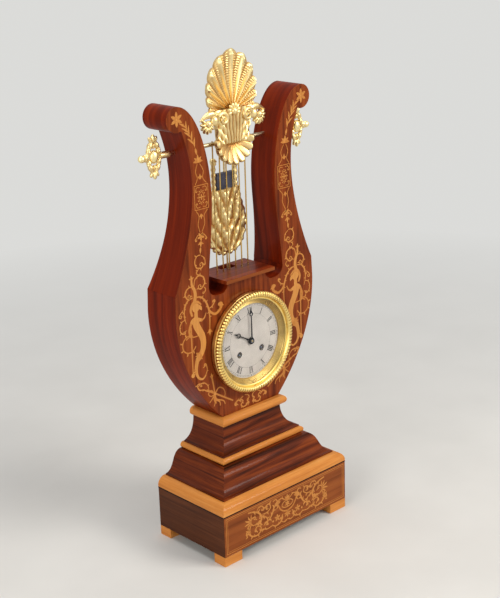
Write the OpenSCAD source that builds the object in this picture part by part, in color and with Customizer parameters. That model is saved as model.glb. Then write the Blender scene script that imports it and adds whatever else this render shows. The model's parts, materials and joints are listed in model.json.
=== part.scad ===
// Lyre clock: a rosewood lyre case on a stepped plinth, with a round striking movement
// behind the dial and a lyre pendulum swinging behind the strings.
// Frame: +Z up, the dial faces -Y, +X to the viewer's right, origin under the plinth's centre.

/* [Plinth] */
// Width of the plinth box
plinth_w = 226; // [210:1:250]
// Depth of the plinth box
plinth_d = 128.6; // [126:0.2:150]
// Height of the plinth box
plinth_h = 57.4; // [45:0.2:80]
// Thickness of the plinth's walls and top
plinth_wall = 10; // [8:0.5:14]
// Height of the feet
foot_h = 13.2; // [8:0.2:20]
// Width of a foot
foot_w = 30; // [20:1:45]
// Depth of a foot
foot_d = 21; // [15:1:40]
// Thickness of the floor panel
floor_t = 5; // [3:0.5:8]

/* [Mouldings] */
// Height of the light moulding on the plinth
thumb_h = 13.4; // [8:0.2:18]
// How far the light moulding rounds in
thumb_in = 12; // [6:0.5:15]
// Height of the lower dark moulding
ogee_h = 30.4; // [20:0.2:40]
// Width of the middle fillet
fillet_w = 148.4; // [136:0.2:160]
// Front of the middle fillet, ahead of the lyre's face
fillet_front = 24; // [18:0.5:32]
// Back of the middle fillet, behind the lyre's face
fillet_back = 61; // [60:0.5:64]
// Height of the middle fillet
fillet_h = 8.6; // [6:0.2:12]
// Height of the upper dark moulding
cove_h = 34.1; // [24:0.2:44]
// Width of the cap
cap_w = 116.4; // [112:0.2:126]
// Front of the cap, ahead of the lyre's face
cap_front = 9.2; // [6:0.2:14]
// Back of the cap, behind the lyre's face
cap_back = 57.5; // [56:0.5:60]
// Height of the cap
cap_h = 12.6; // [9:0.2:16]
// Radius of the long bolts that hold the lyre down
bolt_r = 3; // [2:0.25:4]
// Spacing of the long bolts
bolt_gap = 52; // [40:1:70]

/* [Lyre case] */
// Half width of the lyre at its foot
lyre_foot = 50.5; // [46:0.5:54]
// Half width of the lyre at its widest
belly = 120.8; // [112:0.4:130]
// Height of the widest point above the cap
belly_z = 152; // [140:1:165]
// Height of the shoulder joint above the cap
shoulder_z = 180.3; // [172:0.1:190]
// Half width between the arms at the shoulder
opening = 65; // [60:0.5:70]
// Half width to the outside of the arms at the waist
waist_out = 84.2; // [80:0.2:90]
// Half width to the inside of the arms at the waist
waist_in = 54.3; // [50:0.1:58]
// Half distance between the scroll centres
scroll_x = 104.5; // [98:0.5:112]
// Height of the scroll centres above the cap
scroll_z = 396.8; // [380:0.4:420]
// Radius of the scrolls
scroll_r = 15.5; // [12:0.5:18]
// Depth of the lyre's body
body_d = 55; // [54:0.5:56]
// Depth of the arms at the waist and above
arm_d = 44; // [40:0.5:50]
// Thickness of the front veneer
veneer_t = 0.9; // [0.6:0.1:1.5]
// Radius of the dowels between body and arms
dowel_r = 4; // [3:0.5:6]
// Half length of a dowel
dowel_half = 15; // [10:1:20]

/* [Strings] */
// Height of the shelf's underside above the cap
shelf_z = 180; // [178:0.1:183]
// Thickness of the shelf
shelf_t = 4.8; // [4:0.2:7]
// Half length of the shelf
shelf_half = 42.5; // [40:0.5:46]
// How far the shelf stands out in front of the face
shelf_front = 8; // [4:0.5:10]
// Number of strings
string_count = 6; // [4:1:8]
// Spacing of the strings
string_gap = 10.85; // [10:0.05:11.5]
// Radius of a string
string_r = 0.9; // [0.6:0.1:1.2]
// Height of the cross bar above the cap
bar_z = 352.3; // [345:0.1:360]
// How far the cross bar lies behind the face
bar_y = 26; // [25:0.1:27]
// Radius of the cross bar
bar_r = 2.75; // [2.2:0.05:3.4]
// Half length of the cross bar
bar_half = 110; // [106:0.5:114]

/* [Ornaments] */
// Distance of the keys' centres from the middle
key_x = 121; // [119:0.5:124]
// Half width of a key
key_half_w = 15; // [13:0.5:17]
// Half height of a key
key_half_h = 27; // [24:0.5:30]
// Thickness of a key
key_t = 7; // [6.6:0.1:9]
// Height of the crest's fan centre above the bar
fan_z = 38; // [34:0.5:42]
// Length of the crest's middle rib
fan_len = 73; // [64:0.5:80]
// Radius of the ribs' round ends
rib_r = 5; // [4:0.25:6]
// Drop of the crest's skirt below the bar
skirt_h = 28.5; // [26:0.5:31]

/* [Dial and doors] */
// Height of the dial's centre above the cap
dial_up = 92.8; // [90:0.1:96]
// Radius of the hole bored for the movement
bore_r = 46; // [45.4:0.1:47]
// Outer radius of the bezel
bezel_r = 67.8; // [66:0.2:69]
// Visible radius of the dial
sight_r = 50.4; // [48:0.2:52]
// How far the bezel stands out
bezel_t = 15; // [14.8:0.2:18]
// Thickness of the glass
glass_t = 1.5; // [1:0.1:2]
// Radius of the hinge pins
hinge_pin_r = 0.9; // [0.7:0.05:1.1]

/* [Movement] */
// Radius of the movement's plates
plate_r = 42.4; // [42:0.1:43]
// Thickness of the plates
plate_t = 2.5; // [2:0.1:3]
// Room between the plates
plate_room = 24.5; // [24.3:0.1:26]
// How far the front plate lies behind the face
plate_y = 10; // [9.8:0.1:10.6]
// Half spacing of the winding squares
wind_x = 19.75; // [19.4:0.05:20.2]
// How far the winding squares lie under the dial's centre
wind_down = 15; // [14.6:0.1:15.4]
// Radius of the winding arbors
wind_r = 2; // [1.6:0.1:2.2]
// Radius of the thin arbors
arbor_r = 0.55; // [0.45:0.05:0.6]
// Radius of the arbors that carry the hands, the pallets and the hammer
staff_r = 1; // [0.8:0.05:1.1]
// Radius of the pillars
pillar_r = 2; // [1.6:0.1:2.4]
// Thickness of the wheels
wheel_t = 1.2; // [0.8:0.1:1.4]
// Radius of the bell
bell_r = 27; // [25:0.5:29]

/* [Pendulum] */
// How far the pendulum hangs behind the face
pend_y = 36; // [35.6:0.1:37]
// Height of the bob
bob_h = 124; // [116:1:130]
// Half width of the bob
bob_half = 35; // [31:0.5:38]
// Thickness of the bob
bob_t = 6; // [5:0.2:7]
// Radius of the pendulum rod
rod_r = 1.25; // [1:0.05:1.5]

/* [Hidden] */
$fn = 64;
// Clearances: running fits, push fits and the gap between moving faces
run = 0.05;
fit = 0.1;
gap = 0.3;
big = 400;
curve_steps = 14;

box_z = foot_h;
thumb_z = box_z + plinth_h;
ogee_z = thumb_z + thumb_h;
fillet_z = ogee_z + ogee_h;
cove_z = fillet_z + fillet_h;
cap_z = cove_z + cove_h;
lyre_z = cap_z + cap_h;
bolt_y = 28;
bolt_reach = 28;
bolt_head_h = 5;
bolt_head_r = 2 * bolt_r;
rabbet = 3;
lip_h = 2;

shelf_back = 50;
notch_drop = 13.5;
plateau = 31;
slot_half = 12;
slot_front = 31;
slot_back = 47;
shoulder_in = 1.5;
waist_out_z = 314;
waist_in_z = 295;
// How far each curve of the lyre's edge runs straight on from its ends
foot_pull_x = 40;
foot_pull_z = 39;
belly_pull = 60;
shoulder_pull_x = 18;
shoulder_pull_z = 34;
waist_pull_low = 44;
waist_pull_high = 26;
neck_pull_x = 4;
neck_pull_z = 44;
top_pull_x = 32.5;
top_pull_z = 2;
inside_pull_high = 50;
inside_pull_low = 40;
opening_pull_x = 1.5;
opening_pull_z = 33;
// Hollow beside the shelf: its lowest point from the arm, and its curves
hollow_in = 19;
hollow_pull_arm = 12;
hollow_rise = 1;
hollow_pull_low = 7;
hollow_pull_x = 2;
hollow_pull_z = 7;
// Height over which the arms grow thinner at the back, and its curve
taper_h = 90;
taper_pull = 30;
taper_bend = 6;
dowel_near = 13;
dowel_far = 36;

dial_z = lyre_z + dial_up;
flange_t = 1.5;
flange_r = 60;
tube_t = 1.5;
tube_r = bore_r - 2 * fit;
tube_reach = 12;
dial_t = 1;
dial_r = 53;
dial_y = -flange_t - dial_t;
hinge_r = 2.2;
hinge_x = bezel_r + hinge_r + 0.5;
hinge_y = -flange_t - hinge_r - 0.5;
knuckle_h = 9;
rim_r = 4.5;
// Heights of the sight ring's outer and inner edges, and its room inside the flange
sight_top = 7;
sight_edge = 3.6;
sight_room = 1.5;
glass_r = flange_r - 0.6;
back_y = plate_y + plate_t + plate_room;
back_end = back_y + plate_t;
frame_t = 1.6;
door_y = body_d + frame_t + 1.8;
door_t = 1.6;
door_r = bore_r - 1;
door_hinge_x = door_r + 5;
door_hinge_y = door_y + door_t + 0.6;
strap_t = 1.2;
strap_x = tube_r - tube_t - strap_t - 0.4;
strap_half = 4;
strap_block = 6;
screw_r = 1.2;
screw_x = strap_x - 2;

// Wheel trains, as [x, z] from the dial's centre, with tooth counts and modules
barrel_teeth = 80;
second_pinion = 10;
barrel_m = 0.44;
second_teeth = 72;
centre_pinion = 12;
second_m = 0.38;
centre_teeth = 84;
third_pinion = 7;
centre_m = 0.34;
third_teeth = 80;
escape_pinion = 7;
third_m = 0.3;
escape_teeth = 40;
escape_r = 8.5;
cannon_teeth = 12;
minute_teeth = 36;
motion_m = 0.5;
minute_pinion = 10;
hour_teeth = 40;
hour_m = motion_m * (cannon_teeth + minute_teeth) / (minute_pinion + hour_teeth);
pin_pinion = 8;
count_m = 0.33;
pin_teeth = 60;
warn_pinion = 7;
pin_m = 0.3;
warn_teeth = 54;
fly_pinion = 7;
warn_m = 0.26;
pin_count = 10;
ratchet_teeth = 24;
ratchet_r = 6.5;
ratchet_t = 1.8;
// A click's post from its winding arbor, its half width, its post and how clear it stands
click_p = [12, 9];
click_half = 2.2;
click_post_r = 1.6;
click_clear = 0.35;

function polar(r, a) = [r * cos(a), r * sin(a)];
function centres(n1, n2, m) = (n1 + n2) * m / 2;
// Centre of a wheel that touches two others, on the left of the line from a to b
function across(a, ra, b, rb) =
    let (d = norm(b - a), u = (b - a) / d, k = (ra * ra - rb * rb + d * d) / (2 * d))
    a + k * u + sqrt(ra * ra - k * k) * [-u.y, u.x];
function heading(a, b) = atan2(b.y - a.y, b.x - a.x);
// Angle of one tooth of a wheel of n2 teeth at b that meshes with a wheel of n1 teeth at a
function mesh(a, t1, n1, b, n2) =
    let (h = heading(a, b)) h + 180 - ((t1 - h) * n1 + 180) / n2;

centre_p = [0, 0];
barrel_p = [wind_x, -wind_down];
strike_p = [-wind_x, -wind_down];
second_p = across(centre_p, centres(second_teeth, centre_pinion, second_m),
    barrel_p, centres(barrel_teeth, second_pinion, barrel_m));
third_p = polar(centres(centre_teeth, third_pinion, centre_m), 115);
third_reach = centres(third_teeth, escape_pinion, third_m);
escape_p = [0, third_p.y + sqrt(third_reach * third_reach - third_p.x * third_p.x)];
pallet_up = 10.7;
pallet_p = [0, escape_p.y + pallet_up];
minute_p = polar(centres(cannon_teeth, minute_teeth, motion_m), 60);
count_p = strike_p + polar(centres(barrel_teeth, second_pinion, barrel_m), 110);
pin_p = count_p + polar(centres(second_teeth, pin_pinion, count_m), 75);
warn_p = pin_p + polar(centres(pin_teeth, warn_pinion, pin_m), 60);
fly_p = warn_p + polar(centres(warn_teeth, fly_pinion, warn_m), 80);
hammer_p = [-33.5, 20];
bell_p = [0, -8];
pillar_step = 0.6;
pillar_ps = [[30, 27], [-30, 27], [12, -37.5], [-12, -37.5]];
dial_foot_r = 1.5;
foot_ps = [for (a = [60, 200, 340]) polar(38, a)];

// Tooth angles that keep every pair in mesh at rest
second_pinion_a = mesh(barrel_p, 0, barrel_teeth, second_p, second_pinion);
centre_pinion_a = mesh(second_p, 0, second_teeth, centre_p, centre_pinion);
third_pinion_a = mesh(centre_p, 0, centre_teeth, third_p, third_pinion);
escape_pinion_a = mesh(third_p, 0, third_teeth, escape_p, escape_pinion);
minute_wheel_a = mesh(centre_p, 0, cannon_teeth, minute_p, minute_teeth);
hour_wheel_a = mesh(minute_p, 0, minute_pinion, centre_p, hour_teeth);
count_pinion_a = mesh(strike_p, 0, barrel_teeth, count_p, second_pinion);
pin_pinion_a = mesh(count_p, 0, second_teeth, pin_p, pin_pinion);
warn_pinion_a = mesh(pin_p, 0, pin_teeth, warn_p, warn_pinion);
fly_pinion_a = mesh(warn_p, 0, warn_teeth, fly_p, fly_pinion);

// Layers of the movement, from the front plate back
train_y = plate_y + plate_t;
great_y = train_y + 1.5;
drum_y = great_y + 2;
drum_len = 13;
second_y = drum_y + drum_len + 1.5;
centre_y = second_y + wheel_t + 1.2;
third_y = centre_y - 5.5;
escape_y = train_y + 7.5;
warn_y = third_y - wheel_t - 1.7;
pinion_len = 3;
ratchet_y = plate_y - 4;
minute_y = plate_y - 5;
hour_y = plate_y - 8;
stud_end = 1.5;
hour_pipe_r = 3.2;
minute_pipe_r = 2.25;
hour_hand_y = dial_y - 1.9;
minute_hand_y = hour_hand_y - 1.8;
hand_t = 0.8;
glass_y = minute_hand_y - 1.6 - glass_t;
crutch_y = back_end + 2;
crutch_t = 1.5;
cock_y = crutch_y + crutch_t + 1;
cock_t = 1.5;
post_x = 10;
post_down = 5;
post_r = 2;
hammer_y = back_end + 7.5;
bell_y = back_end + 4.5;
bell_depth = 12.5;
bell_t = 1.2;
stand_r = 1.5;

bar_h = lyre_z + bar_z;
pivot_drop = 4;
pivot_h = bar_h - pivot_drop;
fork_h = lyre_z + shelf_z + 1;
bob_drop = 25;
bob_top = bar_h - bob_drop;
bob_low = bob_top - bob_h;
// Height of the bob's widest place and of the fork between its columns, above its lowest point
bob_belly = 42;
bob_fork = 87;
fork_gap = 8;
// Insets of the columns' outer and inner sides from the bob's half width
column_out = 13;
column_in = 20;
knob_r = 4.5;
block_up = 86;
block_h = 22;
block_t = 4;
bracket_half = string_gap / 2 - string_r - 1;
cheek_reach = 5;
hanger_r = 2.4;
hanger_half = 1.8;
crest_y = 20.5;
crest_t = 4;
waist_half = 29;
waist_low = 4;
waist_neck = 2;
waist_flare = 1;
fan_foot = 6;
// Scrolls and flowers beside the crest's waist: how far out, how far above the bar, and their radii
volute_out = 8;
volute_up = 33;
volute_r = 8;
flower_out = 14;
flower_up = 28.5;
flower_r = 9;
petal_r = 3;
// Skirt: place and radii of its upright axis of curvature, half its sweep, height of its round outline's
// centre above the bar, its thickness, and the lobes' radius and half sweep
skirt_axis = 95;
skirt_top_r = 78;
skirt_low_r = 83;
skirt_spread = 24;
skirt_up = 3;
skirt_t = 3;
lobe_r = 4;
lobe_fan = 80;

rosewood = [0.36, 0.15, 0.08];
mahogany = [0.60, 0.28, 0.12];
satinwood = [0.90, 0.58, 0.25];
gilt = [0.93, 0.78, 0.40];
brass = [0.82, 0.66, 0.30];
steel = [0.55, 0.57, 0.60];
blued = [0.12, 0.14, 0.22];
silvered = [0.80, 0.80, 0.78];

// Points of a cubic curve, from its first point to its last
function curve(a, b, c, d, first = 0) = [for (i = [first : curve_steps])
    let (t = i / curve_steps, u = 1 - t)
    u * u * u * a + 3 * u * u * t * b + 3 * u * t * t * c + t * t * t * d];
function flip(pts) = [for (i = [len(pts) - 1 : -1 : 0]) [-pts[i].x, pts[i].y]];

// A flat shape in the X-Z plane, given depth from y0 to y1
module slab(y0, y1) {
    translate([0, y1, 0])
        rotate([90, 0, 0])
            linear_extrude(y1 - y0)
                children();
}

// A round rod along Y at p = [x, z]
module rod(p, r, y0, y1) {
    translate([p.x, y1, p.y])
        rotate([90, 0, 0])
            cylinder(r = r, h = y1 - y0);
}

// A rod along X from x0 to x1
module bar(r, x0, x1, y, z) {
    translate([x0, y, z])
        rotate([0, 90, 0])
            cylinder(r = r, h = x1 - x0);
}

// A shape turned about the Y axis; the profile gives [radius, distance in front of the face]
module turned() {
    rotate([90, 0, 0])
        rotate_extrude($fn = 96)
            children();
}

module at_dial() {
    translate([0, 0, dial_z])
        children();
}

// A moulding mitred round the front and sides, flat at the back: profile points are [inset, z]
module moulding(profile, half_w, front, back) {
    n = len(profile);
    side = [for (p = profile) [half_w - p.x, p.y]];
    fore = [for (p = profile) [-front + p.x, p.y]];
    intersection() {
        slab(-front, back)
            polygon(concat(side, flip(side)));
        translate([-half_w, 0, 0])
            rotate([90, 0, 90])
                linear_extrude(2 * half_w)
                    polygon(concat(fore, [[back, profile[n - 1].y], [back, profile[0].y]]));
    }
}

module bolt_holes(z0, z1, r) {
    for (s = [-1, 1])
        translate([s * bolt_gap / 2, bolt_y, z0])
            cylinder(r = r, h = z1 - z0);
}

// Rounded nose of a moulding: half of a circle of the moulding's own height
function nose(z, h) = [for (i = [0 : curve_steps])
    let (a = -90 + 180 * i / curve_steps) [h / 2 * (1 - cos(a)), z + h / 2 + h / 2 * sin(a)]];

module feet() {
    color(satinwood)
        for (sx = [-1, 1], sy = [-1, 1])
            translate([sx * (plinth_w - foot_w) / 2, sy * (plinth_d - foot_d) / 2, foot_h / 2])
                cube([foot_w, foot_d, foot_h], center = true);
}

module plinth_box() {
    inner_w = plinth_w - 2 * plinth_wall;
    inner_d = plinth_d - 2 * plinth_wall;
    color(rosewood)
        difference() {
            translate([-plinth_w / 2, -plinth_d / 2, box_z])
                cube([plinth_w, plinth_d, plinth_h]);
            translate([-inner_w / 2, -inner_d / 2, box_z - 1])
                cube([inner_w, inner_d, plinth_h - plinth_wall + 1]);
            translate([-inner_w / 2 - rabbet, -inner_d / 2 - rabbet, box_z - 1])
                cube([inner_w + 2 * rabbet, inner_d + 2 * rabbet, floor_t + 1]);
            bolt_holes(box_z, thumb_z + 1, bolt_r + fit);
        }
}

module plinth_floor() {
    floor_w = plinth_w - 2 * plinth_wall + 2 * rabbet - 2 * fit;
    floor_d = plinth_d - 2 * plinth_wall + 2 * rabbet - 2 * fit;
    color(mahogany)
        translate([-floor_w / 2, -floor_d / 2, box_z])
            cube([floor_w, floor_d, floor_t]);
}

module base_moulding() {
    round_h = thumb_h - lip_h;
    profile = concat([[0, thumb_z]], [for (i = [0 : curve_steps])
        let (a = 90 * i / curve_steps) [thumb_in * (1 - cos(a)), thumb_z + lip_h + round_h * sin(a)]]);
    color(satinwood)
        difference() {
            moulding(profile, plinth_w / 2, plinth_d / 2, plinth_d / 2);
            bolt_holes(thumb_z - 1, ogee_z + 1, bolt_r + fit);
        }
}

module ogee_moulding() {
    half = plinth_w / 2 - thumb_in;
    run_in = half - fillet_w / 2;
    profile = concat([[0, ogee_z]], curve([0, ogee_z + lip_h], [0.6 * run_in, ogee_z + lip_h + 2],
        [0.4 * run_in, fillet_z - 2], [run_in, fillet_z]));
    color(rosewood)
        difference() {
            moulding(profile, half, plinth_d / 2 - thumb_in, fillet_back + 1);
            bolt_holes(ogee_z - 1, fillet_z + 1, bolt_r + fit);
        }
}

module middle_fillet() {
    color(satinwood)
        difference() {
            moulding(nose(fillet_z, fillet_h), fillet_w / 2, fillet_front, fillet_back);
            bolt_holes(fillet_z - 1, cove_z + 1, bolt_r + fit);
        }
}

module cove_moulding() {
    half = fillet_w / 2 - fillet_h / 2;
    run_in = half - cap_w / 2 + cap_h / 2;
    profile = concat([[0, cove_z]], curve([0, cove_z + lip_h], [0.65 * run_in, cove_z + lip_h + 3],
        [run_in, cove_z + 0.5 * cove_h], [run_in, cap_z]));
    color(rosewood)
        difference() {
            moulding(profile, half, fillet_front - fillet_h / 2, cap_back + 0.5);
            bolt_holes(cove_z - 1, cap_z + 1, bolt_r + fit);
        }
}

module cap_moulding() {
    color(satinwood)
        difference() {
            moulding(nose(cap_z, cap_h), cap_w / 2, cap_front, cap_back);
            bolt_holes(cap_z - 1, lyre_z + 1, bolt_r + fit);
        }
}

module case_bolts() {
    head_z = thumb_z - plinth_wall - bolt_head_h;
    color(steel) {
        bolt_holes(head_z, lyre_z + bolt_reach - fit, bolt_r);
        for (s = [-1, 1])
            translate([s * bolt_gap / 2, bolt_y, head_z])
                cylinder(r = bolt_head_r, h = bolt_head_h, $fn = 6);
    }
}

// Right edge of the body from the foot up, in heights above the cap
function body_edge() =
    curve([lyre_foot, 0], [lyre_foot + foot_pull_x, foot_pull_z], [belly, belly_z - belly_pull],
        [belly, belly_z]);

// Hollow between an arm and the shelf's seat
function notch_edge() =
    let (low = shoulder_z - notch_drop, mid = opening - hollow_in)
    concat(
        curve([opening, shoulder_z], [opening, low + hollow_rise], [opening - hollow_pull_arm, low],
            [mid, low], 1),
        curve([mid, low], [plateau + hollow_pull_low, low],
            [plateau + hollow_pull_x, shelf_z - hollow_pull_z], [plateau, shelf_z], 1));

// Right arm, from the outside of the shoulder round the scroll to the inside of the shoulder
function arm_edge() =
    let (scroll = [scroll_x, scroll_z], top = scroll + [0, scroll_r], under = 245, sweep = 450 - under)
    concat(
        curve([belly - shoulder_in, shoulder_z], [belly - shoulder_pull_x, shoulder_z + shoulder_pull_z],
            [waist_out, waist_out_z - waist_pull_low], [waist_out, waist_out_z]),
        curve([waist_out, waist_out_z], [waist_out, waist_out_z + waist_pull_high],
            [waist_out + neck_pull_x, waist_out_z + neck_pull_z], scroll + polar(scroll_r, under), 1),
        [for (i = [1 : 2 * curve_steps]) scroll + polar(scroll_r, under + sweep * i / 2 / curve_steps)],
        curve(top, top - [top_pull_x, top_pull_z], [waist_in, waist_in_z + inside_pull_high],
            [waist_in, waist_in_z], 1),
        curve([waist_in, waist_in_z], [waist_in, waist_in_z - inside_pull_low],
            [opening - opening_pull_x, shoulder_z + opening_pull_z], [opening, shoulder_z], 1));

module dowel_rods(r, clear) {
    for (s = [-1, 1], x = [opening + dowel_near, opening + dowel_far])
        translate([s * x, arm_d / 2, lyre_z + shoulder_z - dowel_half - clear])
            cylinder(r = r, h = 2 * (dowel_half + clear));
}

module lyre_body() {
    half = concat(body_edge(), [[belly - shoulder_in, shoulder_z], [opening, shoulder_z]], notch_edge());
    color(mahogany)
        difference() {
            translate([0, 0, lyre_z])
                slab(veneer_t, body_d)
                    polygon(concat(half, flip(half)));
            rod([0, dial_z], bore_r, -1, body_d + 1);
            bolt_holes(lyre_z - 1, lyre_z + bolt_reach, bolt_r + fit);
            translate([-slot_half, slot_front, dial_z])
                cube([2 * slot_half, slot_back - slot_front, big]);
            dowel_rods(dowel_r + fit, fit);
        }
}

// One arm: the outline, thinned at the back above the shoulder
module arm() {
    taper_top = shoulder_z + taper_h;
    back = concat([[veneer_t, shoulder_z]],
        curve([body_d, shoulder_z], [body_d - taper_bend, shoulder_z + taper_pull],
            [arm_d, taper_top - taper_pull], [arm_d, taper_top]),
        [[arm_d, scroll_z + scroll_r + 1], [veneer_t, scroll_z + scroll_r + 1]]);
    difference() {
        intersection() {
            translate([0, 0, lyre_z])
                slab(veneer_t, body_d)
                    polygon(arm_edge());
            translate([0, 0, lyre_z])
                rotate([90, 0, 90])
                    linear_extrude(2 * belly)
                        polygon(back);
        }
        bar(bar_r + fit, 0, 2 * belly, bar_y, bar_h);
        dowel_rods(dowel_r + fit, fit);
    }
}

module left_arm() {
    color(mahogany)
        mirror([1, 0, 0])
            arm();
}

module right_arm() {
    color(mahogany)
        arm();
}

module arm_dowels() {
    color(satinwood)
        dowel_rods(dowel_r, 0);
}

module front_veneer() {
    half = concat(body_edge(), arm_edge(), notch_edge());
    color(mahogany)
        difference() {
            translate([0, 0, lyre_z])
                slab(0, veneer_t)
                    polygon(concat(half, flip(half)));
            rod([0, dial_z], bore_r, -1, veneer_t + 1);
        }
}

function string_x(i) = (i - (string_count - 1) / 2) * string_gap;

module string_rods(r, z0, z1) {
    for (i = [0 : string_count - 1])
        translate([string_x(i), bar_y, z0])
            cylinder(r = r, h = z1 - z0, $fn = 24);
}

module string_shelf() {
    shelf_h = lyre_z + shelf_z;
    color(mahogany)
        difference() {
            translate([-shelf_half, -shelf_front, shelf_h])
                cube([2 * shelf_half, shelf_front + shelf_back, shelf_t]);
            string_rods(string_r + fit, shelf_h + 1, shelf_h + big);
            translate([-slot_half, slot_front, shelf_h - 1])
                cube([2 * slot_half, slot_back - slot_front, shelf_t + 2]);
        }
}

module strings() {
    color(brass)
        string_rods(string_r, lyre_z + shelf_z + 1 + fit, bar_h + bar_r + 1);
}

module cross_bar() {
    color(brass)
        difference() {
            bar(bar_r, -bar_half, bar_half, bar_y, bar_h);
            string_rods(string_r + fit, bar_h - 2 * bar_r, bar_h + 2 * bar_r);
        }
}

// Quarter of a key's outline, from its side point up to its leaf tip
function key_quarter() =
    let (neck = [4, key_half_h - 8])
    concat(curve([key_half_w, 0], [6, 5], [6, 10], neck),
        curve(neck, neck + [5, 2], [6, key_half_h], [0, key_half_h], 1));
function key_upper() = concat(key_quarter(), flip(key_quarter()));

// One key: a pierced lozenge with a round boss, leaf tips, an outer ball and a socket for the bar
module key() {
    socket_x = bar_half - 12;
    socket_r = bar_r + 1.6;
    ball_r = 4.5;
    pierce_r = 2.4;
    pierce_z = 12.5;
    color(gilt)
        difference() {
            translate([key_x, 0, bar_h]) {
                difference() {
                    slab(bar_y - key_t / 2, bar_y + key_t / 2)
                        polygon(concat(key_upper(), -1 * key_upper()));
                    for (s = [-1, 1])
                        rod([0, s * pierce_z], pierce_r, -big, big);
                }
                translate([0, bar_y, 0])
                    sphere(r = 0.42 * key_half_w);
                translate([key_half_w + ball_r - 1, bar_y, 0])
                    sphere(r = ball_r);
                bar(socket_r, socket_x - key_x, -key_half_w + 5, bar_y, 0);
            }
            bar(bar_r + fit, 0, bar_half + fit, bar_y, bar_h);
        }
}

module left_key() {
    mirror([1, 0, 0])
        key();
}

module right_key() {
    key();
}

// Lengths of the crest's ribs beside the middle one, as shares of the middle rib
rib_share = [1, 0.92, 0.8, 0.66, 0.54, 0.44];
rib_step = 17;
function rib_len(i) = fan_len * rib_share[abs(i)];

// A rib that widens to a blunt rounded end
module rib(length) {
    rotate_extrude($fn = 32)
        polygon([[0, 0], [0.3 * rib_r, 0], [rib_r, length], [0.8 * rib_r, length + 0.6 * rib_r],
            [0, length + rib_r]]);
}

// Shell of ribs over a waist with a flower at each side, and the skirt
module crest() {
    neck = waist_half - waist_neck;
    waist = curve([waist_half, -waist_low], [neck, 0.32 * fan_z], [neck + waist_flare, 0.58 * fan_z],
        [waist_half + waist_flare, fan_z]);
    tips = [for (i = [-5 : 5]) polar(rib_len(i), 90 - i * rib_step)];
    front = crest_y - 2 * crest_t;
    volute_p = [waist_half + volute_out, bar_h + volute_up];
    flower_p = [waist_half + flower_out, bar_h + flower_up];
    flower = [for (a = [0 : 6 : 354]) polar(flower_r + petal_r * cos(5 * a), a)];
    color(gilt) {
        translate([0, crest_y - crest_t, bar_h + fan_z]) {
            slab(0, crest_t)
                polygon(concat([[-neck, -fan_foot]], tips, [[neck, -fan_foot]]));
            for (i = [-5 : 5])
                rotate([0, i * rib_step, 0])
                    rib(rib_len(i));
        }
        translate([0, 0, bar_h])
            slab(front, crest_y)
                polygon(concat(waist, flip(waist)));
        for (s = [0, 1])
            mirror([s, 0, 0]) {
                rod(volute_p, volute_r, front, crest_y);
                translate([flower_p.x, 0, flower_p.y])
                    slab(front + 1, crest_y - 1)
                        polygon(flower);
            }
        crest_skirt();
    }
}

// Cupped skirt under the crest: a bowed plate of round outline with a lobed lower edge
module crest_skirt() {
    lobes = 8;
    disc_r = skirt_h + skirt_up - lobe_r;
    middle = bar_h + skirt_up;
    lobe_axis = skirt_low_r - lobe_r / 2;
    flare = curve([skirt_low_r, -disc_r], [skirt_low_r, -0.5 * disc_r], [skirt_top_r, -0.2 * disc_r],
        [skirt_top_r, 0.4 * disc_r]);
    hollow = [for (i = [curve_steps : -1 : 0]) flare[i] - [skirt_t, 0]];
    intersection() {
        translate([0, skirt_axis, middle])
            rotate([0, 0, -90 - skirt_spread])
                rotate_extrude(angle = 2 * skirt_spread, $fn = 96)
                    polygon(concat(flare, hollow));
        rod([0, middle], disc_r, skirt_axis - skirt_low_r - 1, crest_y);
    }
    for (i = [0 : lobes]) {
        p = polar(disc_r, -90 + (i / lobes * 2 - 1) * lobe_fan);
        translate([p.x, skirt_axis - sqrt(pow(lobe_axis, 2) - pow(p.x, 2)), middle + p.y])
            sphere(r = lobe_r);
    }
}

// Bracket on the cross bar: carries the crest in front and the pendulum's pivot behind
module bar_bracket() {
    ring_r = bar_r + 2.5;
    color(brass)
        difference() {
            union() {
                bar(ring_r, -bracket_half, bracket_half, bar_y, bar_h);
                translate([-bracket_half, crest_y, bar_h - 3])
                    cube([2 * bracket_half, bar_y - crest_y, 6]);
                translate([-bracket_half, bar_y, pivot_h - cheek_reach])
                    cube([2 * bracket_half, pend_y + cheek_reach - bar_y, bar_h + 3 - pivot_h + cheek_reach]);
            }
            bar(bar_r + fit, -big, big, bar_y, bar_h);
            translate([-big, pend_y - hanger_half - gap, pivot_h - 2 * cheek_reach])
                cube([2 * big, 2 * (hanger_half + gap), 2 * cheek_reach + hanger_r + gap]);
            rod([0, pivot_h], hinge_pin_r + run, bar_y, big);
        }
}

// Ring that carries the dial: flange on the face, tube in the bore, hinge ears at the right
module dial_frame() {
    color(brass)
        at_dial()
            difference() {
                union() {
                    turned()
                        polygon([[tube_r - tube_t, -tube_reach], [tube_r, -tube_reach], [tube_r, 0],
                            [flange_r, 0], [flange_r, flange_t], [tube_r - tube_t, flange_t]]);
                    for (s = [-1, 1])
                        translate([0, 0, s * (knuckle_h + gap)]) {
                            translate([flange_r - 3, -flange_t, -knuckle_h / 2])
                                cube([hinge_x - flange_r + 3, flange_t, knuckle_h]);
                            translate([hinge_x - 1, hinge_y, -knuckle_h / 2])
                                cube([2, -hinge_y, knuckle_h]);
                            translate([hinge_x, hinge_y, -knuckle_h / 2])
                                cylinder(r = hinge_r, h = knuckle_h);
                        }
                }
                translate([hinge_x, hinge_y, -big])
                    cylinder(r = hinge_pin_r + run, h = 2 * big);
            }
}

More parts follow.
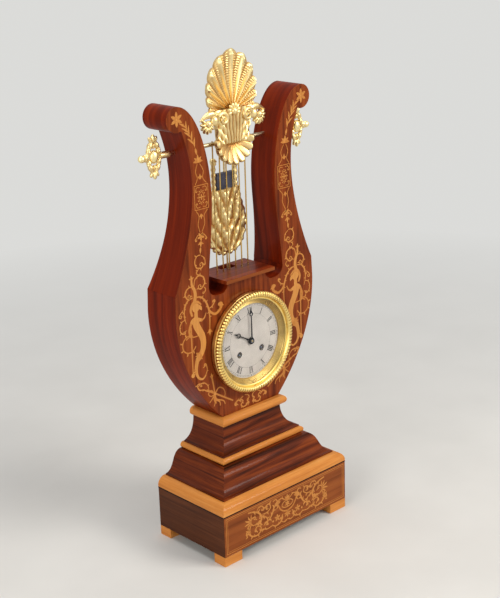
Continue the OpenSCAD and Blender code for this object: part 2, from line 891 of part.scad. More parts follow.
module dial() {
    color(silvered)
        at_dial()
            difference() {
                union() {
                    rod([0, 0], dial_r, dial_y, -flange_t);
                    for (p = foot_ps)
                        rod(p, dial_foot_r, -flange_t, plate_y + plate_t);
                }
                rod([0, 0], hour_pipe_r + gap, -big, big);
                for (s = [-1, 1])
                    rod([s * wind_x, -wind_down], wind_r + 1.2, -big, big);
            }
}

// Fixed gilt ring that slopes from the door down to the dial
module sight_ring() {
    outer = flange_r - sight_room;
    width = outer - sight_r;
    rise = sight_top - sight_edge;
    color(gilt)
        at_dial()
            turned()
                polygon([[sight_r, -dial_y], [dial_r + fit, -dial_y], [dial_r + fit, flange_t],
                    [outer, flange_t], [outer, sight_top], [sight_r + 0.55 * width, sight_edge + 0.85 * rise],
                    [sight_r + 0.25 * width, sight_edge + 0.27 * rise], [sight_r, sight_edge]]);
}

// Door bezel with a rounded rim, a rebate for the glass and its hinge knuckle
module bezel() {
    mid_r = bezel_r - rim_r;
    wall_r = bezel_r - 1.5;
    lip = flange_r - 2.4;
    rest = flange_t + 0.2;
    color(gilt)
        at_dial()
            difference() {
                union() {
                    turned()
                        polygon(concat([[glass_r + fit, rest], [wall_r, rest], [wall_r, rest + 2.6]],
                            [for (i = [0 : 2 * curve_steps]) [mid_r, bezel_t - rim_r]
                                + polar(rim_r, -36 + 216 * i / 2 / curve_steps)],
                            [[lip, bezel_t - rim_r - 0.4], [lip, -glass_y], [glass_r + fit, -glass_y]]));
                    translate([hinge_x, hinge_y, -knuckle_h / 2])
                        cylinder(r = hinge_r, h = knuckle_h);
                    translate([bezel_r - 3, hinge_y - 1, -knuckle_h / 2])
                        cube([hinge_x - bezel_r + 3, 2, knuckle_h]);
                }
                translate([hinge_x, hinge_y, -big])
                    cylinder(r = hinge_pin_r + run, h = 2 * big);
            }
}

module glass() {
    color([0.85, 0.92, 0.95, 0.3])
        at_dial()
            rod([0, 0], glass_r, glass_y, glass_y + glass_t);
}

module hinge_pins() {
    pin_half = 1.5 * knuckle_h + gap + 0.5;
    color(brass) {
        translate([hinge_x, hinge_y, dial_z - pin_half])
            cylinder(r = hinge_pin_r, h = 2 * pin_half);
        translate([door_hinge_x, door_hinge_y, dial_z - pin_half])
            cylinder(r = hinge_pin_r, h = 2 * pin_half);
        rod([0, pivot_h], hinge_pin_r, pend_y - cheek_reach, pend_y + cheek_reach);
    }
}

// Ring on the back of the case, with two hinge ears for the door
module back_frame() {
    inner = screw_x - 3;
    color(brass)
        at_dial()
            difference() {
                union() {
                    turned()
                        polygon([[inner, -body_d], [flange_r - 2, -body_d], [flange_r - 2, -body_d - frame_t],
                            [inner, -body_d - frame_t]]);
                    for (s = [-1, 1])
                        translate([door_hinge_x, 0, s * (knuckle_h + gap)]) {
                            translate([-1, body_d, -knuckle_h / 2])
                                cube([2, door_hinge_y - body_d, knuckle_h]);
                            translate([0, door_hinge_y, -knuckle_h / 2])
                                cylinder(r = hinge_r, h = knuckle_h);
                        }
                }
                translate([door_hinge_x, door_hinge_y, -big])
                    cylinder(r = hinge_pin_r + run, h = 2 * big);
                for (s = [-1, 1])
                    rod([s * screw_x, 0], screw_r + fit, 0, big);
            }
}

module back_door() {
    color(brass)
        at_dial()
            difference() {
                union() {
                    rod([0, 0], door_r, door_y, door_y + door_t);
                    translate([door_r - 4, door_y, -knuckle_h / 2])
                        cube([door_hinge_x - door_r + 4, door_t, knuckle_h]);
                    translate([door_hinge_x, door_hinge_y, -knuckle_h / 2])
                        cylinder(r = hinge_r, h = knuckle_h);
                    rod([-door_r + 7, 0], 2.5, door_y, door_y + door_t + 3);
                }
                translate([door_hinge_x, door_hinge_y, -big])
                    cylinder(r = hinge_pin_r + run, h = 2 * big);
            }
}

// Two straps that draw the dial frame and the back frame together through the case
module movement_straps() {
    color(brass)
        at_dial()
            for (s = [0, 1])
                mirror([s, 0, 0])
                    difference() {
                        union() {
                            translate([strap_x, 1, -strap_half])
                                cube([strap_t, body_d - 1, 2 * strap_half]);
                            translate([strap_x - strap_block + strap_t, body_d - strap_block, -strap_half])
                                cube([strap_block, strap_block, 2 * strap_half]);
                        }
                        rod([screw_x, 0], screw_r + fit, 0, big);
                    }
}

module strap_screws() {
    color(steel)
        at_dial()
            for (s = [-1, 1]) {
                rod([s * screw_x, 0], screw_r, body_d - strap_block, body_d + frame_t);
                rod([s * screw_x, 0], 2 * screw_r, body_d + frame_t, body_d + frame_t + 1.2);
            }
}

// Holes of both plates; the arbors turn in these
module pivot_holes() {
    for (p = [barrel_p, strike_p])
        rod(p, wind_r + run, -big, big);
    for (p = [second_p, third_p, escape_p, count_p, pin_p, warn_p, fly_p])
        rod(p, arbor_r + run, -big, big);
    for (p = [centre_p, hammer_p])
        rod(p, staff_r + run, -big, big);
    for (p = pillar_ps)
        rod(p, pillar_r - pillar_step + fit, -big, big);
}

module front_plate() {
    color(brass)
        at_dial() {
            difference() {
                rod([0, 0], plate_r, plate_y, plate_y + plate_t);
                pivot_holes();
                rod(pallet_p, staff_r + run, -big, big);
                for (p = foot_ps)
                    rod(p, dial_foot_r + fit, -big, big);
            }
            rod(minute_p, staff_r, hour_y - stud_end, plate_y);
        }
}

module back_plate() {
    color(brass)
        at_dial()
            difference() {
                rod([0, 0], plate_r, back_y, back_end);
                pivot_holes();
                rod(pallet_p, 3, -big, big);
                rod(bell_p, stand_r + fit, -big, big);
                for (s = [-1, 1])
                    rod(pallet_p + [s * post_x, -post_down], post_r - 1 + fit, -big, big);
            }
}

module pillars() {
    color(brass)
        at_dial()
            for (p = pillar_ps) {
                rod(p, pillar_r, train_y, back_y);
                rod(p, pillar_r - pillar_step, plate_y, back_end);
            }
}

// Cock on the back plate that holds the pallets' rear pivot
module back_cock() {
    color(brass)
        at_dial()
            difference() {
                union() {
                    for (s = [-1, 1]) {
                        rod(pallet_p + [s * post_x, -post_down], post_r, back_end, cock_y + cock_t);
                        rod(pallet_p + [s * post_x, -post_down], post_r - 1, back_y, back_end);
                    }
                    translate([pallet_p.x - post_x, cock_y, pallet_p.y - post_down - post_r])
                        cube([2 * post_x, cock_t, post_down + post_r + 2]);
                }
                rod(pallet_p, staff_r + run, -big, big);
            }
}

// Spring clicks that let each winding arbor turn one way
module clicks() {
    color(steel)
        at_dial()
            for (s = [-1, 1]) {
                reach = ratchet_r + click_clear;
                pivot = [s * (wind_x + click_p.x), -wind_down + click_p.y];
                tip = [s * wind_x, -wind_down] + reach * [s * cos(52), sin(52)];
                slab(ratchet_y, ratchet_y + ratchet_t)
                    polygon([tip, pivot + [0, click_half], pivot + [s * click_half, 0],
                        pivot - [0, click_half]]);
                rod(pivot, click_post_r, ratchet_y - click_post_r / 2, plate_y);
            }
}

// Outline of a toothed wheel with straight-sided teeth; one tooth points at angle a0
module teeth(n, m, a0, add, ded, root_half, tip_half) {
    rp = n * m / 2;
    ra = rp + add * m;
    rf = rp - ded * m;
    root = root_half * m / rf * 180 / PI;
    tip = tip_half * m / ra * 180 / PI;
    polygon([for (i = [0 : n - 1]) let (a = a0 + 360 * i / n)
        each [polar(rf, a - root), polar(ra, a - tip), polar(ra, a + tip), polar(rf, a + root)]]);
}

// A wheel with round lightening holes, without its arbor
module wheel(p, n, m, a0, y) {
    rp = n * m / 2;
    hole = 0.24 * rp;
    translate([p.x, 0, p.y])
        difference() {
            slab(y, y + wheel_t)
                teeth(n, m, a0, 0.85, 1.15, 0.52, 0.2);
            for (a = [0 : 72 : 288])
                rod(polar(0.58 * rp, a), hole, -big, big);
        }
}

module pinion(p, n, m, a0, y) {
    translate([p.x, 0, p.y])
        slab(y - (pinion_len - wheel_t) / 2, y + (pinion_len + wheel_t) / 2)
            teeth(n, m, a0, 0.75, 1.2, 0.42, 0.28);
}

module arbor(p, y1 = back_end) {
    rod(p, arbor_r, plate_y, y1);
}

// Winding arbor: square end behind the dial, ratchet wheel in front of the plate
module winding_arbor(p) {
    translate([p.x, 0, p.y]) {
        difference() {
            rod([0, 0], wind_r, dial_y + 0.4, back_end);
            for (a = [0 : 90 : 270])
                rotate([0, a, 0])
                    translate([0.75 * wind_r, dial_y, -big / 2])
                        cube([wind_r, 5, big]);
        }
        slab(ratchet_y, ratchet_y + ratchet_t)
            polygon([for (i = [0 : ratchet_teeth - 1]) let (a = 360 * i / ratchet_teeth)
                each [polar(ratchet_r - 0.8, a), polar(ratchet_r, a + 1)]]);
        rod([0, 0], 2 * wind_r, drum_y + 1.5 + gap, drum_y + drum_len - 1.5 - gap);
    }
}

// Spring barrel: toothed floor, drum and lid, turning on the winding arbor
module spring_barrel(p) {
    drum_r = barrel_teeth * barrel_m / 2 - 1.3;
    wall = 1;
    translate([p.x, 0, p.y])
        difference() {
            union() {
                slab(great_y, drum_y)
                    teeth(barrel_teeth, barrel_m, 0, 0.85, 1.15, 0.52, 0.2);
                rod([0, 0], drum_r, drum_y, drum_y + drum_len);
            }
            rod([0, 0], drum_r - wall, drum_y + 1.5, drum_y + drum_len - 1.5);
            rod([0, 0], wind_r + run, -big, big);
        }
}

// Mainspring: a flat strip coiled inside the barrel
module mainspring(p) {
    turns = 6;
    outer = barrel_teeth * barrel_m / 2 - 1.3 - 1 - gap;
    inner = 2 * wind_r + 2;
    strip = 0.5;
    steps = 24 * turns;
    path = [for (i = [0 : steps]) let (t = i / steps) [inner + (outer - strip - inner) * t, 360 * turns * t]];
    translate([p.x, 0, p.y])
        slab(drum_y + 1.5 + gap, drum_y + drum_len - 1.5 - gap)
            polygon(concat([for (q = path) polar(q.x, q.y)],
                [for (i = [steps : -1 : 0]) polar(path[i].x + strip, path[i].y)]));
}

module time_arbor() {
    color(steel)
        at_dial()
            winding_arbor(barrel_p);
}

module time_barrel() {
    color(brass)
        at_dial()
            spring_barrel(barrel_p);
}

module time_spring() {
    color(blued)
        at_dial()
            mainspring(barrel_p);
}

module strike_arbor() {
    color(steel)
        at_dial()
            winding_arbor(strike_p);
}

module strike_barrel() {
    color(brass)
        at_dial()
            spring_barrel(strike_p);
}

module strike_spring() {
    color(blued)
        at_dial()
            mainspring(strike_p);
}

module second_wheel() {
    color(brass)
        at_dial() {
            arbor(second_p);
            pinion(second_p, second_pinion, barrel_m, second_pinion_a, great_y + 0.4);
            wheel(second_p, second_teeth, second_m, 0, second_y);
        }
}

module centre_wheel() {
    color(brass)
        at_dial() {
            rod(centre_p, staff_r, minute_hand_y - hand_t, back_end);
            pinion(centre_p, centre_pinion, second_m, centre_pinion_a, second_y);
            wheel(centre_p, centre_teeth, centre_m, 0, centre_y);
        }
}

// Cannon pinion: friction pipe on the centre arbor that carries the minute hand
module cannon_pinion() {
    color(steel)
        at_dial()
            difference() {
                union() {
                    pinion(centre_p, cannon_teeth, motion_m, 0, minute_y);
                    rod(centre_p, minute_pipe_r, minute_hand_y, minute_y);
                }
                rod(centre_p, staff_r + run, -big, big);
            }
}

module minute_wheel() {
    color(brass)
        at_dial()
            difference() {
                union() {
                    wheel(minute_p, minute_teeth, motion_m, minute_wheel_a, minute_y);
                    pinion(minute_p, minute_pinion, hour_m, 0, hour_y);
                    rod(minute_p, 1.7, hour_y, minute_y);
                }
                rod(minute_p, staff_r + run, -big, big);
            }
}

module hour_wheel() {
    color(brass)
        at_dial()
            difference() {
                union() {
                    wheel(centre_p, hour_teeth, hour_m, hour_wheel_a, hour_y);
                    rod(centre_p, hour_pipe_r, hour_hand_y, hour_y + wheel_t);
                }
                rod(centre_p, minute_pipe_r + run, -big, big);
            }
}

// Blued moon hand: a tapered blade with a ring near its tip
module hand(y, length, eye, tail_r, bore) {
    eye_z = length - 8;
    difference() {
        union() {
            rod([0, 0], tail_r, y, y + hand_t);
            rod([0, eye_z], eye, y, y + hand_t);
            slab(y, y + hand_t)
                polygon([[-1, 0], [-0.5, eye_z], [0.5, eye_z], [1, 0]]);
            slab(y, y + hand_t)
                polygon([[-1.3, eye_z + eye - 0.5], [0, length], [1.3, eye_z + eye - 0.5]]);
        }
        rod([0, 0], bore, -big, big);
        rod([0, eye_z], eye - 1, -big, big);
    }
}

hour_len = 33;
minute_len = 45;
hour_angle = 60;

module hour_hand() {
    color(blued)
        at_dial()
            rotate([0, -hour_angle, 0])
                hand(hour_hand_y, hour_len, 3.2, hour_pipe_r + 1.6, hour_pipe_r + run);
}

module minute_hand() {
    color(blued)
        at_dial()
            hand(minute_hand_y, minute_len, 2.8, minute_pipe_r + 1.6, minute_pipe_r + run);
}

module third_wheel() {
    color(brass)
        at_dial() {
            arbor(third_p);
            pinion(third_p, third_pinion, centre_m, third_pinion_a, centre_y);
            wheel(third_p, third_teeth, third_m, 0, third_y);
        }
}

module escape_wheel() {
    root_r = escape_r - 1;
    color(brass)
        at_dial() {
            arbor(escape_p);
            pinion(escape_p, escape_pinion, third_m, escape_pinion_a, third_y);
            translate([escape_p.x, 0, escape_p.y])
                difference() {
                    slab(escape_y, escape_y + wheel_t)
                        polygon([for (i = [0 : escape_teeth - 1]) let (a = 360 * i / escape_teeth)
                            each [polar(root_r, a), polar(escape_r, a + 3), polar(root_r, a + 4)]]);
                    for (a = [0 : 72 : 288])
                        rod(polar(0.55 * escape_r, a), 0.2 * escape_r, -big, big);
                }
        }
}

// Pallets, their arbor and the crutch, whose fork takes the pendulum's tail
module pallets() {
    fork_z = fork_h - dial_z;
    fork_half = 3.5;
    span = 8.2;
    slot = rod_r + 0.6;
    color(steel)
        at_dial()
            difference() {
                union() {
                    rod(pallet_p, staff_r, plate_y, cock_y + cock_t);
                    slab(escape_y, escape_y + wheel_t)
                        for (s = [-1, 1])
                            polygon([pallet_p + [0, 1.6], pallet_p + [s * span, -2.2],
                                pallet_p + [s * span, -4.6], pallet_p + [s * (span - 1.5), -2.8],
                                pallet_p + [0, -0.4]]);
                    slab(crutch_y, crutch_y + crutch_t)
                        polygon([pallet_p + [-2.2, -2], [-1.2, fork_z - 2], [-1.2, fork_z], [1.2, fork_z],
                            [1.2, fork_z - 2], pallet_p + [2.2, -2]]);
                    translate([-fork_half, pend_y - 2.5, fork_z - 2])
                        cube([2 * fork_half, crutch_y + crutch_t - pend_y + 2.5, 2]);
                }
                translate([-slot, pend_y - 3, fork_z - 3])
                    cube([2 * slot, 3 + slot, 4]);
            }
}

// Count wheel arbor: driven by the strike barrel, with the notched plate outside the back plate
module count_wheel() {
    plate = 12;
    notches = 12;
    color(brass)
        at_dial() {
            arbor(count_p, back_end + 2.2);
            pinion(count_p, second_pinion, barrel_m, count_pinion_a, great_y + 0.4);
            wheel(count_p, second_teeth, count_m, 0, second_y);
            difference() {
                rod(count_p, plate, back_end + 0.8, back_end + 2);
                for (i = [1 : notches])
                    rod(count_p + polar(plate, 360 * i * (i + 1) / (notches * (notches + 1))), 0.9, 0, big);
            }
        }
}

module pin_wheel() {
    pin_ring = 7.4;
    color(brass)
        at_dial() {
            arbor(pin_p);
            pinion(pin_p, pin_pinion, count_m, pin_pinion_a, second_y);
            wheel(pin_p, pin_teeth, pin_m, 0, escape_y);
            for (i = [0 : pin_count - 1])
                rod(pin_p + polar(pin_ring, 360 * i / pin_count), 0.5, escape_y, escape_y + wheel_t + 2);
        }
}

module warning_wheel() {
    color(brass)
        at_dial() {
            arbor(warn_p);
            pinion(warn_p, warn_pinion, pin_m, warn_pinion_a, escape_y);
            wheel(warn_p, warn_teeth, warn_m, 0, warn_y);
        }
}

module fly() {
    vane = 4.2;
    color(steel)
        at_dial() {
            arbor(fly_p);
            pinion(fly_p, fly_pinion, warn_m, fly_pinion_a, warn_y);
            translate([fly_p.x - vane, train_y + 1.5, fly_p.y - 0.3])
                cube([2 * vane, warn_y - train_y - 3.5, 0.6]);
        }
}

module hammer() {
    head = bell_p + polar(bell_r + 3.2, 160);
    head_r = 2.5;
    aim = heading(hammer_p, head);
    color(steel)
        at_dial() {
            rod(hammer_p, staff_r, plate_y, hammer_y + 2);
            slab(escape_y + wheel_t + 0.4, escape_y + wheel_t + 1.6)
                polygon([hammer_p + [0, 1.5], hammer_p + [2.4, -0.6], hammer_p + [0, -1.5]]);
            slab(hammer_y, hammer_y + 1.5)
                polygon([hammer_p + polar(1.6, aim + 90), head + polar(0.7, aim + 90),
                    head + polar(0.7, aim - 90), hammer_p + polar(1.6, aim - 90)]);
            rod(head, head_r, hammer_y - 1, hammer_y + 3);
        }
}

module bell() {
    color(brass)
        translate([bell_p.x, 0, dial_z + bell_p.y])
            turned()
                polygon(concat([[stand_r + fit, -bell_y - bell_depth]],
                    curve([8, -bell_y - bell_depth], [22, -bell_y - bell_depth], [bell_r - 2, -bell_y - 7],
                        [bell_r, -bell_y]),
                    curve([bell_r - bell_t, -bell_y], [bell_r - bell_t - 2, -bell_y - 7],
                        [21, -bell_y - bell_depth + bell_t], [8, -bell_y - bell_depth + bell_t]),
                    [[stand_r + fit, -bell_y - bell_depth + bell_t]]));
}

module bell_stand() {
    seat = bell_y + bell_depth - bell_t;
    color(steel)
        at_dial() {
            rod(bell_p, stand_r, back_y, seat + bell_t + 0.2);
            rod(bell_p, 2 * stand_r, back_end, seat);
        }
}

// Pendulum: hanger on the pivot pin, rod with its tail in the crutch, and the lyre bob
module pendulum() {
    color(gilt)
        difference() {
            union() {
                rod([0, pivot_h], hanger_r, pend_y - hanger_half, pend_y + hanger_half);
                translate([0, pend_y, fork_h - 3.5])
                    cylinder(r = rod_r, h = pivot_h - fork_h + 3.5);
                bob_frame();
            }
            rod([0, pivot_h], hinge_pin_r + run, 0, big);
        }
}

// Lyre-shaped bob: two columns that rise from a round bowl
module bob_frame() {
    outer = bob_half - column_out;
    inner = bob_half - column_in;
    half = [for (p = concat(
        curve([0, 0], [0.6 * bob_half, 0], [bob_half, bob_belly / 3], [bob_half, bob_belly]),
        curve([bob_half, bob_belly], [bob_half, 1.5 * bob_belly], [outer, 1.5 * bob_belly],
            [outer, bob_h], 1),
        curve([inner, bob_h], [inner, 1.25 * bob_fork], [1.4 * fork_gap, 1.07 * bob_fork],
            [fork_gap, bob_fork])))
        [p.x, p.y + bob_low]];
    slab(pend_y - bob_t / 2, pend_y + bob_t / 2)
        polygon(concat(half, flip(half)));
    for (s = [-1, 1])
        translate([s * (inner + outer) / 2, pend_y, bob_top])
            sphere(r = knob_r);
    translate([-outer, pend_y - block_t / 2, bob_low + block_up])
        cube([2 * outer, block_t, block_h]);
}

feet();
plinth_box();
plinth_floor();
base_moulding();
ogee_moulding();
middle_fillet();
cove_moulding();
cap_moulding();
case_bolts();
lyre_body();
left_arm();
right_arm();
arm_dowels();
front_veneer();
string_shelf();
strings();
cross_bar();
left_key();
right_key();
crest();
bar_bracket();
dial_frame();
dial();
sight_ring();
bezel();
glass();
hinge_pins();
back_frame();
back_door();
movement_straps();
strap_screws();
front_plate();
back_plate();
pillars();
back_cock();
clicks();
time_arbor();
time_barrel();
time_spring();
second_wheel();
centre_wheel();
cannon_pinion();
minute_wheel();
hour_wheel();
hour_hand();
minute_hand();
third_wheel();
escape_wheel();
pallets();
strike_arbor();
strike_barrel();
strike_spring();
count_wheel();
pin_wheel();
warning_wheel();
fly();
hammer();
bell();
bell_stand();
pendulum();
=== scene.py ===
"""Lyre clock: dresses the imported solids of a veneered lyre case, its gilt mounts, dial and pendulum.

Sizes are in millimetres, in the frame of the solids: +Z up, the dial faces -Y, +X to the viewer's right.
"""

from __future__ import annotations

import json
import logging
import math
from dataclasses import dataclass
from enum import Enum
from typing import Callable, Sequence

import bmesh
import bpy
import numpy as np
from mathutils import Matrix, Vector
from mathutils.geometry import tessellate_polygon

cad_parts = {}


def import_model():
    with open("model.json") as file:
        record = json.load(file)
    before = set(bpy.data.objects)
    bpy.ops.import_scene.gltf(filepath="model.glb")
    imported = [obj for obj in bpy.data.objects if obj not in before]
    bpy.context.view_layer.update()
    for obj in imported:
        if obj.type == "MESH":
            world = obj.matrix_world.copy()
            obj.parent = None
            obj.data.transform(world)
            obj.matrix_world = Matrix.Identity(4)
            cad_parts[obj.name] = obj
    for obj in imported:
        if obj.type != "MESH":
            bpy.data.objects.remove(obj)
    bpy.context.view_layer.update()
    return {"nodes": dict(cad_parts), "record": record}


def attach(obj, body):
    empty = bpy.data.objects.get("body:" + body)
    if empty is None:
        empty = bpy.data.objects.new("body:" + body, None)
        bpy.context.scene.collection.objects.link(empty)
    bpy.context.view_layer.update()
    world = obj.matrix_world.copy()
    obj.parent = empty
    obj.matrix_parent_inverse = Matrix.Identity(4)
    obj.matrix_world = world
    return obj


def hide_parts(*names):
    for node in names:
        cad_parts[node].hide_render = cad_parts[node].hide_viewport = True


Array = np.ndarray
Colour = tuple[float, float, float]
Material = bpy.types.Material
Point = tuple[float, float]
Socket = bpy.types.NodeSocket
# Half width, front and back of a moulding at no inset
Run = tuple[float, float, float]
LOG = logging.getLogger("lyre_clock")

# Millimetres in metres, and the distance in metres under which points are one
MM = 0.001
WELD = 2e-6
# Main heights and the movement's bore, as in the solids
LYRE_Z = 169.7
DIAL_Z = 262.5
BAR_Z = 522.0
BORE_R = 46.0
# Left and right of the clock
SIDES = (-1.0, 1.0)
# Stretch of wood along its grain, and its shift from one side of a box to the next
GRAIN_STRETCH = 0.05
GRAIN_SHIFT = 517.0


def linear(colour: Colour) -> tuple[float, float, float, float]:
    """Turn a colour as seen on a screen into the linear colour that a shader takes.

    Args:
        colour: Red, green and blue from 0 to 1.

    Returns:
        The linear colour, opaque.
    """
    c = np.asarray(colour, float)
    low, high = c / 12.92, ((c + 0.055) / 1.055) ** 2.4
    return (*np.where(c <= 0.04045, low, high).tolist(), 1.0)


def unit(value: Array | float) -> Array:
    """Hold values between 0 and 1."""
    return np.clip(value, 0.0, 1.0)


def wave(turns: Array) -> Array:
    """A cosine that falls from 1 to 0 and comes back in each whole turn."""
    return 0.5 + 0.5 * np.cos(2 * np.pi * turns)


def dome(x: Array) -> Array:
    """Height of a half circle of radius 1 over x, and 0 outside it."""
    return np.sqrt(unit(1.0 - x**2))


def hump(x: Array, middle: float, width: float) -> Array:
    """A bell curve: e to the minus square of the distance from the middle in widths."""
    return np.exp(-(((x - middle) / width) ** 2))


def heading(angle: float | Array) -> Array:
    """Cosine and sine of angles in degrees, as unit vectors."""
    return np.stack([np.cos(np.radians(angle)), np.sin(np.radians(angle))], axis=-1)


def places(x: Array | float, y: Array | float, z: Array | float) -> Array:
    """Points from their coordinates, each of which is spread over the whole grid."""
    return np.stack(np.broadcast_arrays(x, y, z), axis=-1)


def bezier(a: Point, b: Point, c: Point, d: Point, steps: int = 40) -> Array:
    """Points of the cubic (1-t)^3 a + 3(1-t)^2 t b + 3(1-t) t^2 c + t^3 d.

    Args:
        a: First point.
        b: First handle.
        c: Second handle.
        d: Last point.
        steps: Number of stretches.

    Returns:
        An array of steps + 1 points.
    """
    t = np.linspace(0.0, 1.0, steps + 1)[:, None]
    u = 1.0 - t
    return u**3 * np.array(a) + 3 * u * u * t * np.array(b) + 3 * u * t * t * np.array(c) + t**3 * np.array(d)


def smooth_path(knots: Sequence[Point], steps: int = 10) -> Array:
    """Points of a Catmull-Rom curve through the knots, whose ends are doubled.

    Args:
        knots: The points to pass through.
        steps: Points for each stretch between two knots.

    Returns:
        The points of the curve.
    """
    k = np.array([knots[0], *knots, knots[-1]], float)
    t = np.linspace(0.0, 1.0, steps, endpoint=False)[None, :, None]
    p0, p1, p2, p3 = (k[i : len(k) - 3 + i, None, :] for i in range(4))
    square = (2 * p0 - 5 * p1 + 4 * p2 - p3) * t**2
    cube = (3 * p1 - p0 - 3 * p2 + p3) * t**3
    body = 0.5 * (2 * p1 + (p2 - p0) * t + square + cube)
    return np.vstack([body.reshape(-1, k.shape[1]), k[-1:]])


def arc(centre: Point, radius: float, start: float, end: float, steps: int = 48) -> Array:
    """Points of a circle's arc at even steps from one angle to another, in degrees."""
    return np.asarray(centre) + radius * heading(np.linspace(start, end, steps + 1))


def spiral(centre: Point, outer: float, inner: float, start: float, turn: float, steps: int = 40) -> Array:
    """Points of a spiral whose radius falls evenly from outer to inner while it turns, in degrees."""
    t = np.linspace(0.0, 1.0, steps + 1)
    return np.asarray(centre) + (outer + (inner - outer) * t)[:, None] * heading(start + turn * t)


def joined(*paths: Array) -> Array:
    """Chain paths that share end points, keeping each shared point once."""
    return np.vstack([paths[0], *(p[1:] for p in paths[1:])])


def flipped(path: Array) -> Array:
    """Mirror a path left to right and reverse its order."""
    return path[::-1] * np.array([-1.0, 1.0])


def run_lengths(path: Array) -> Array:
    """Distance along a path at each of its points."""
    return np.concatenate([[0.0], np.cumsum(np.linalg.norm(np.diff(path, axis=0), axis=1))])


def directions(path: Array) -> Array:
    """Unit vectors along a path at each of its points."""
    t = np.gradient(path, axis=0)
    return t / np.maximum(np.linalg.norm(t, axis=1, keepdims=True), 1e-9)


def left_of(path: Array) -> Array:
    """Unit vectors to the left of a flat path."""
    return directions(path)[:, ::-1] * np.array([-1.0, 1.0])


def upright(low: float, high: float) -> Array:
    """Profile of a plain wall: no inset from one height to another."""
    return np.array([[0.0, low], [0.0, high]])


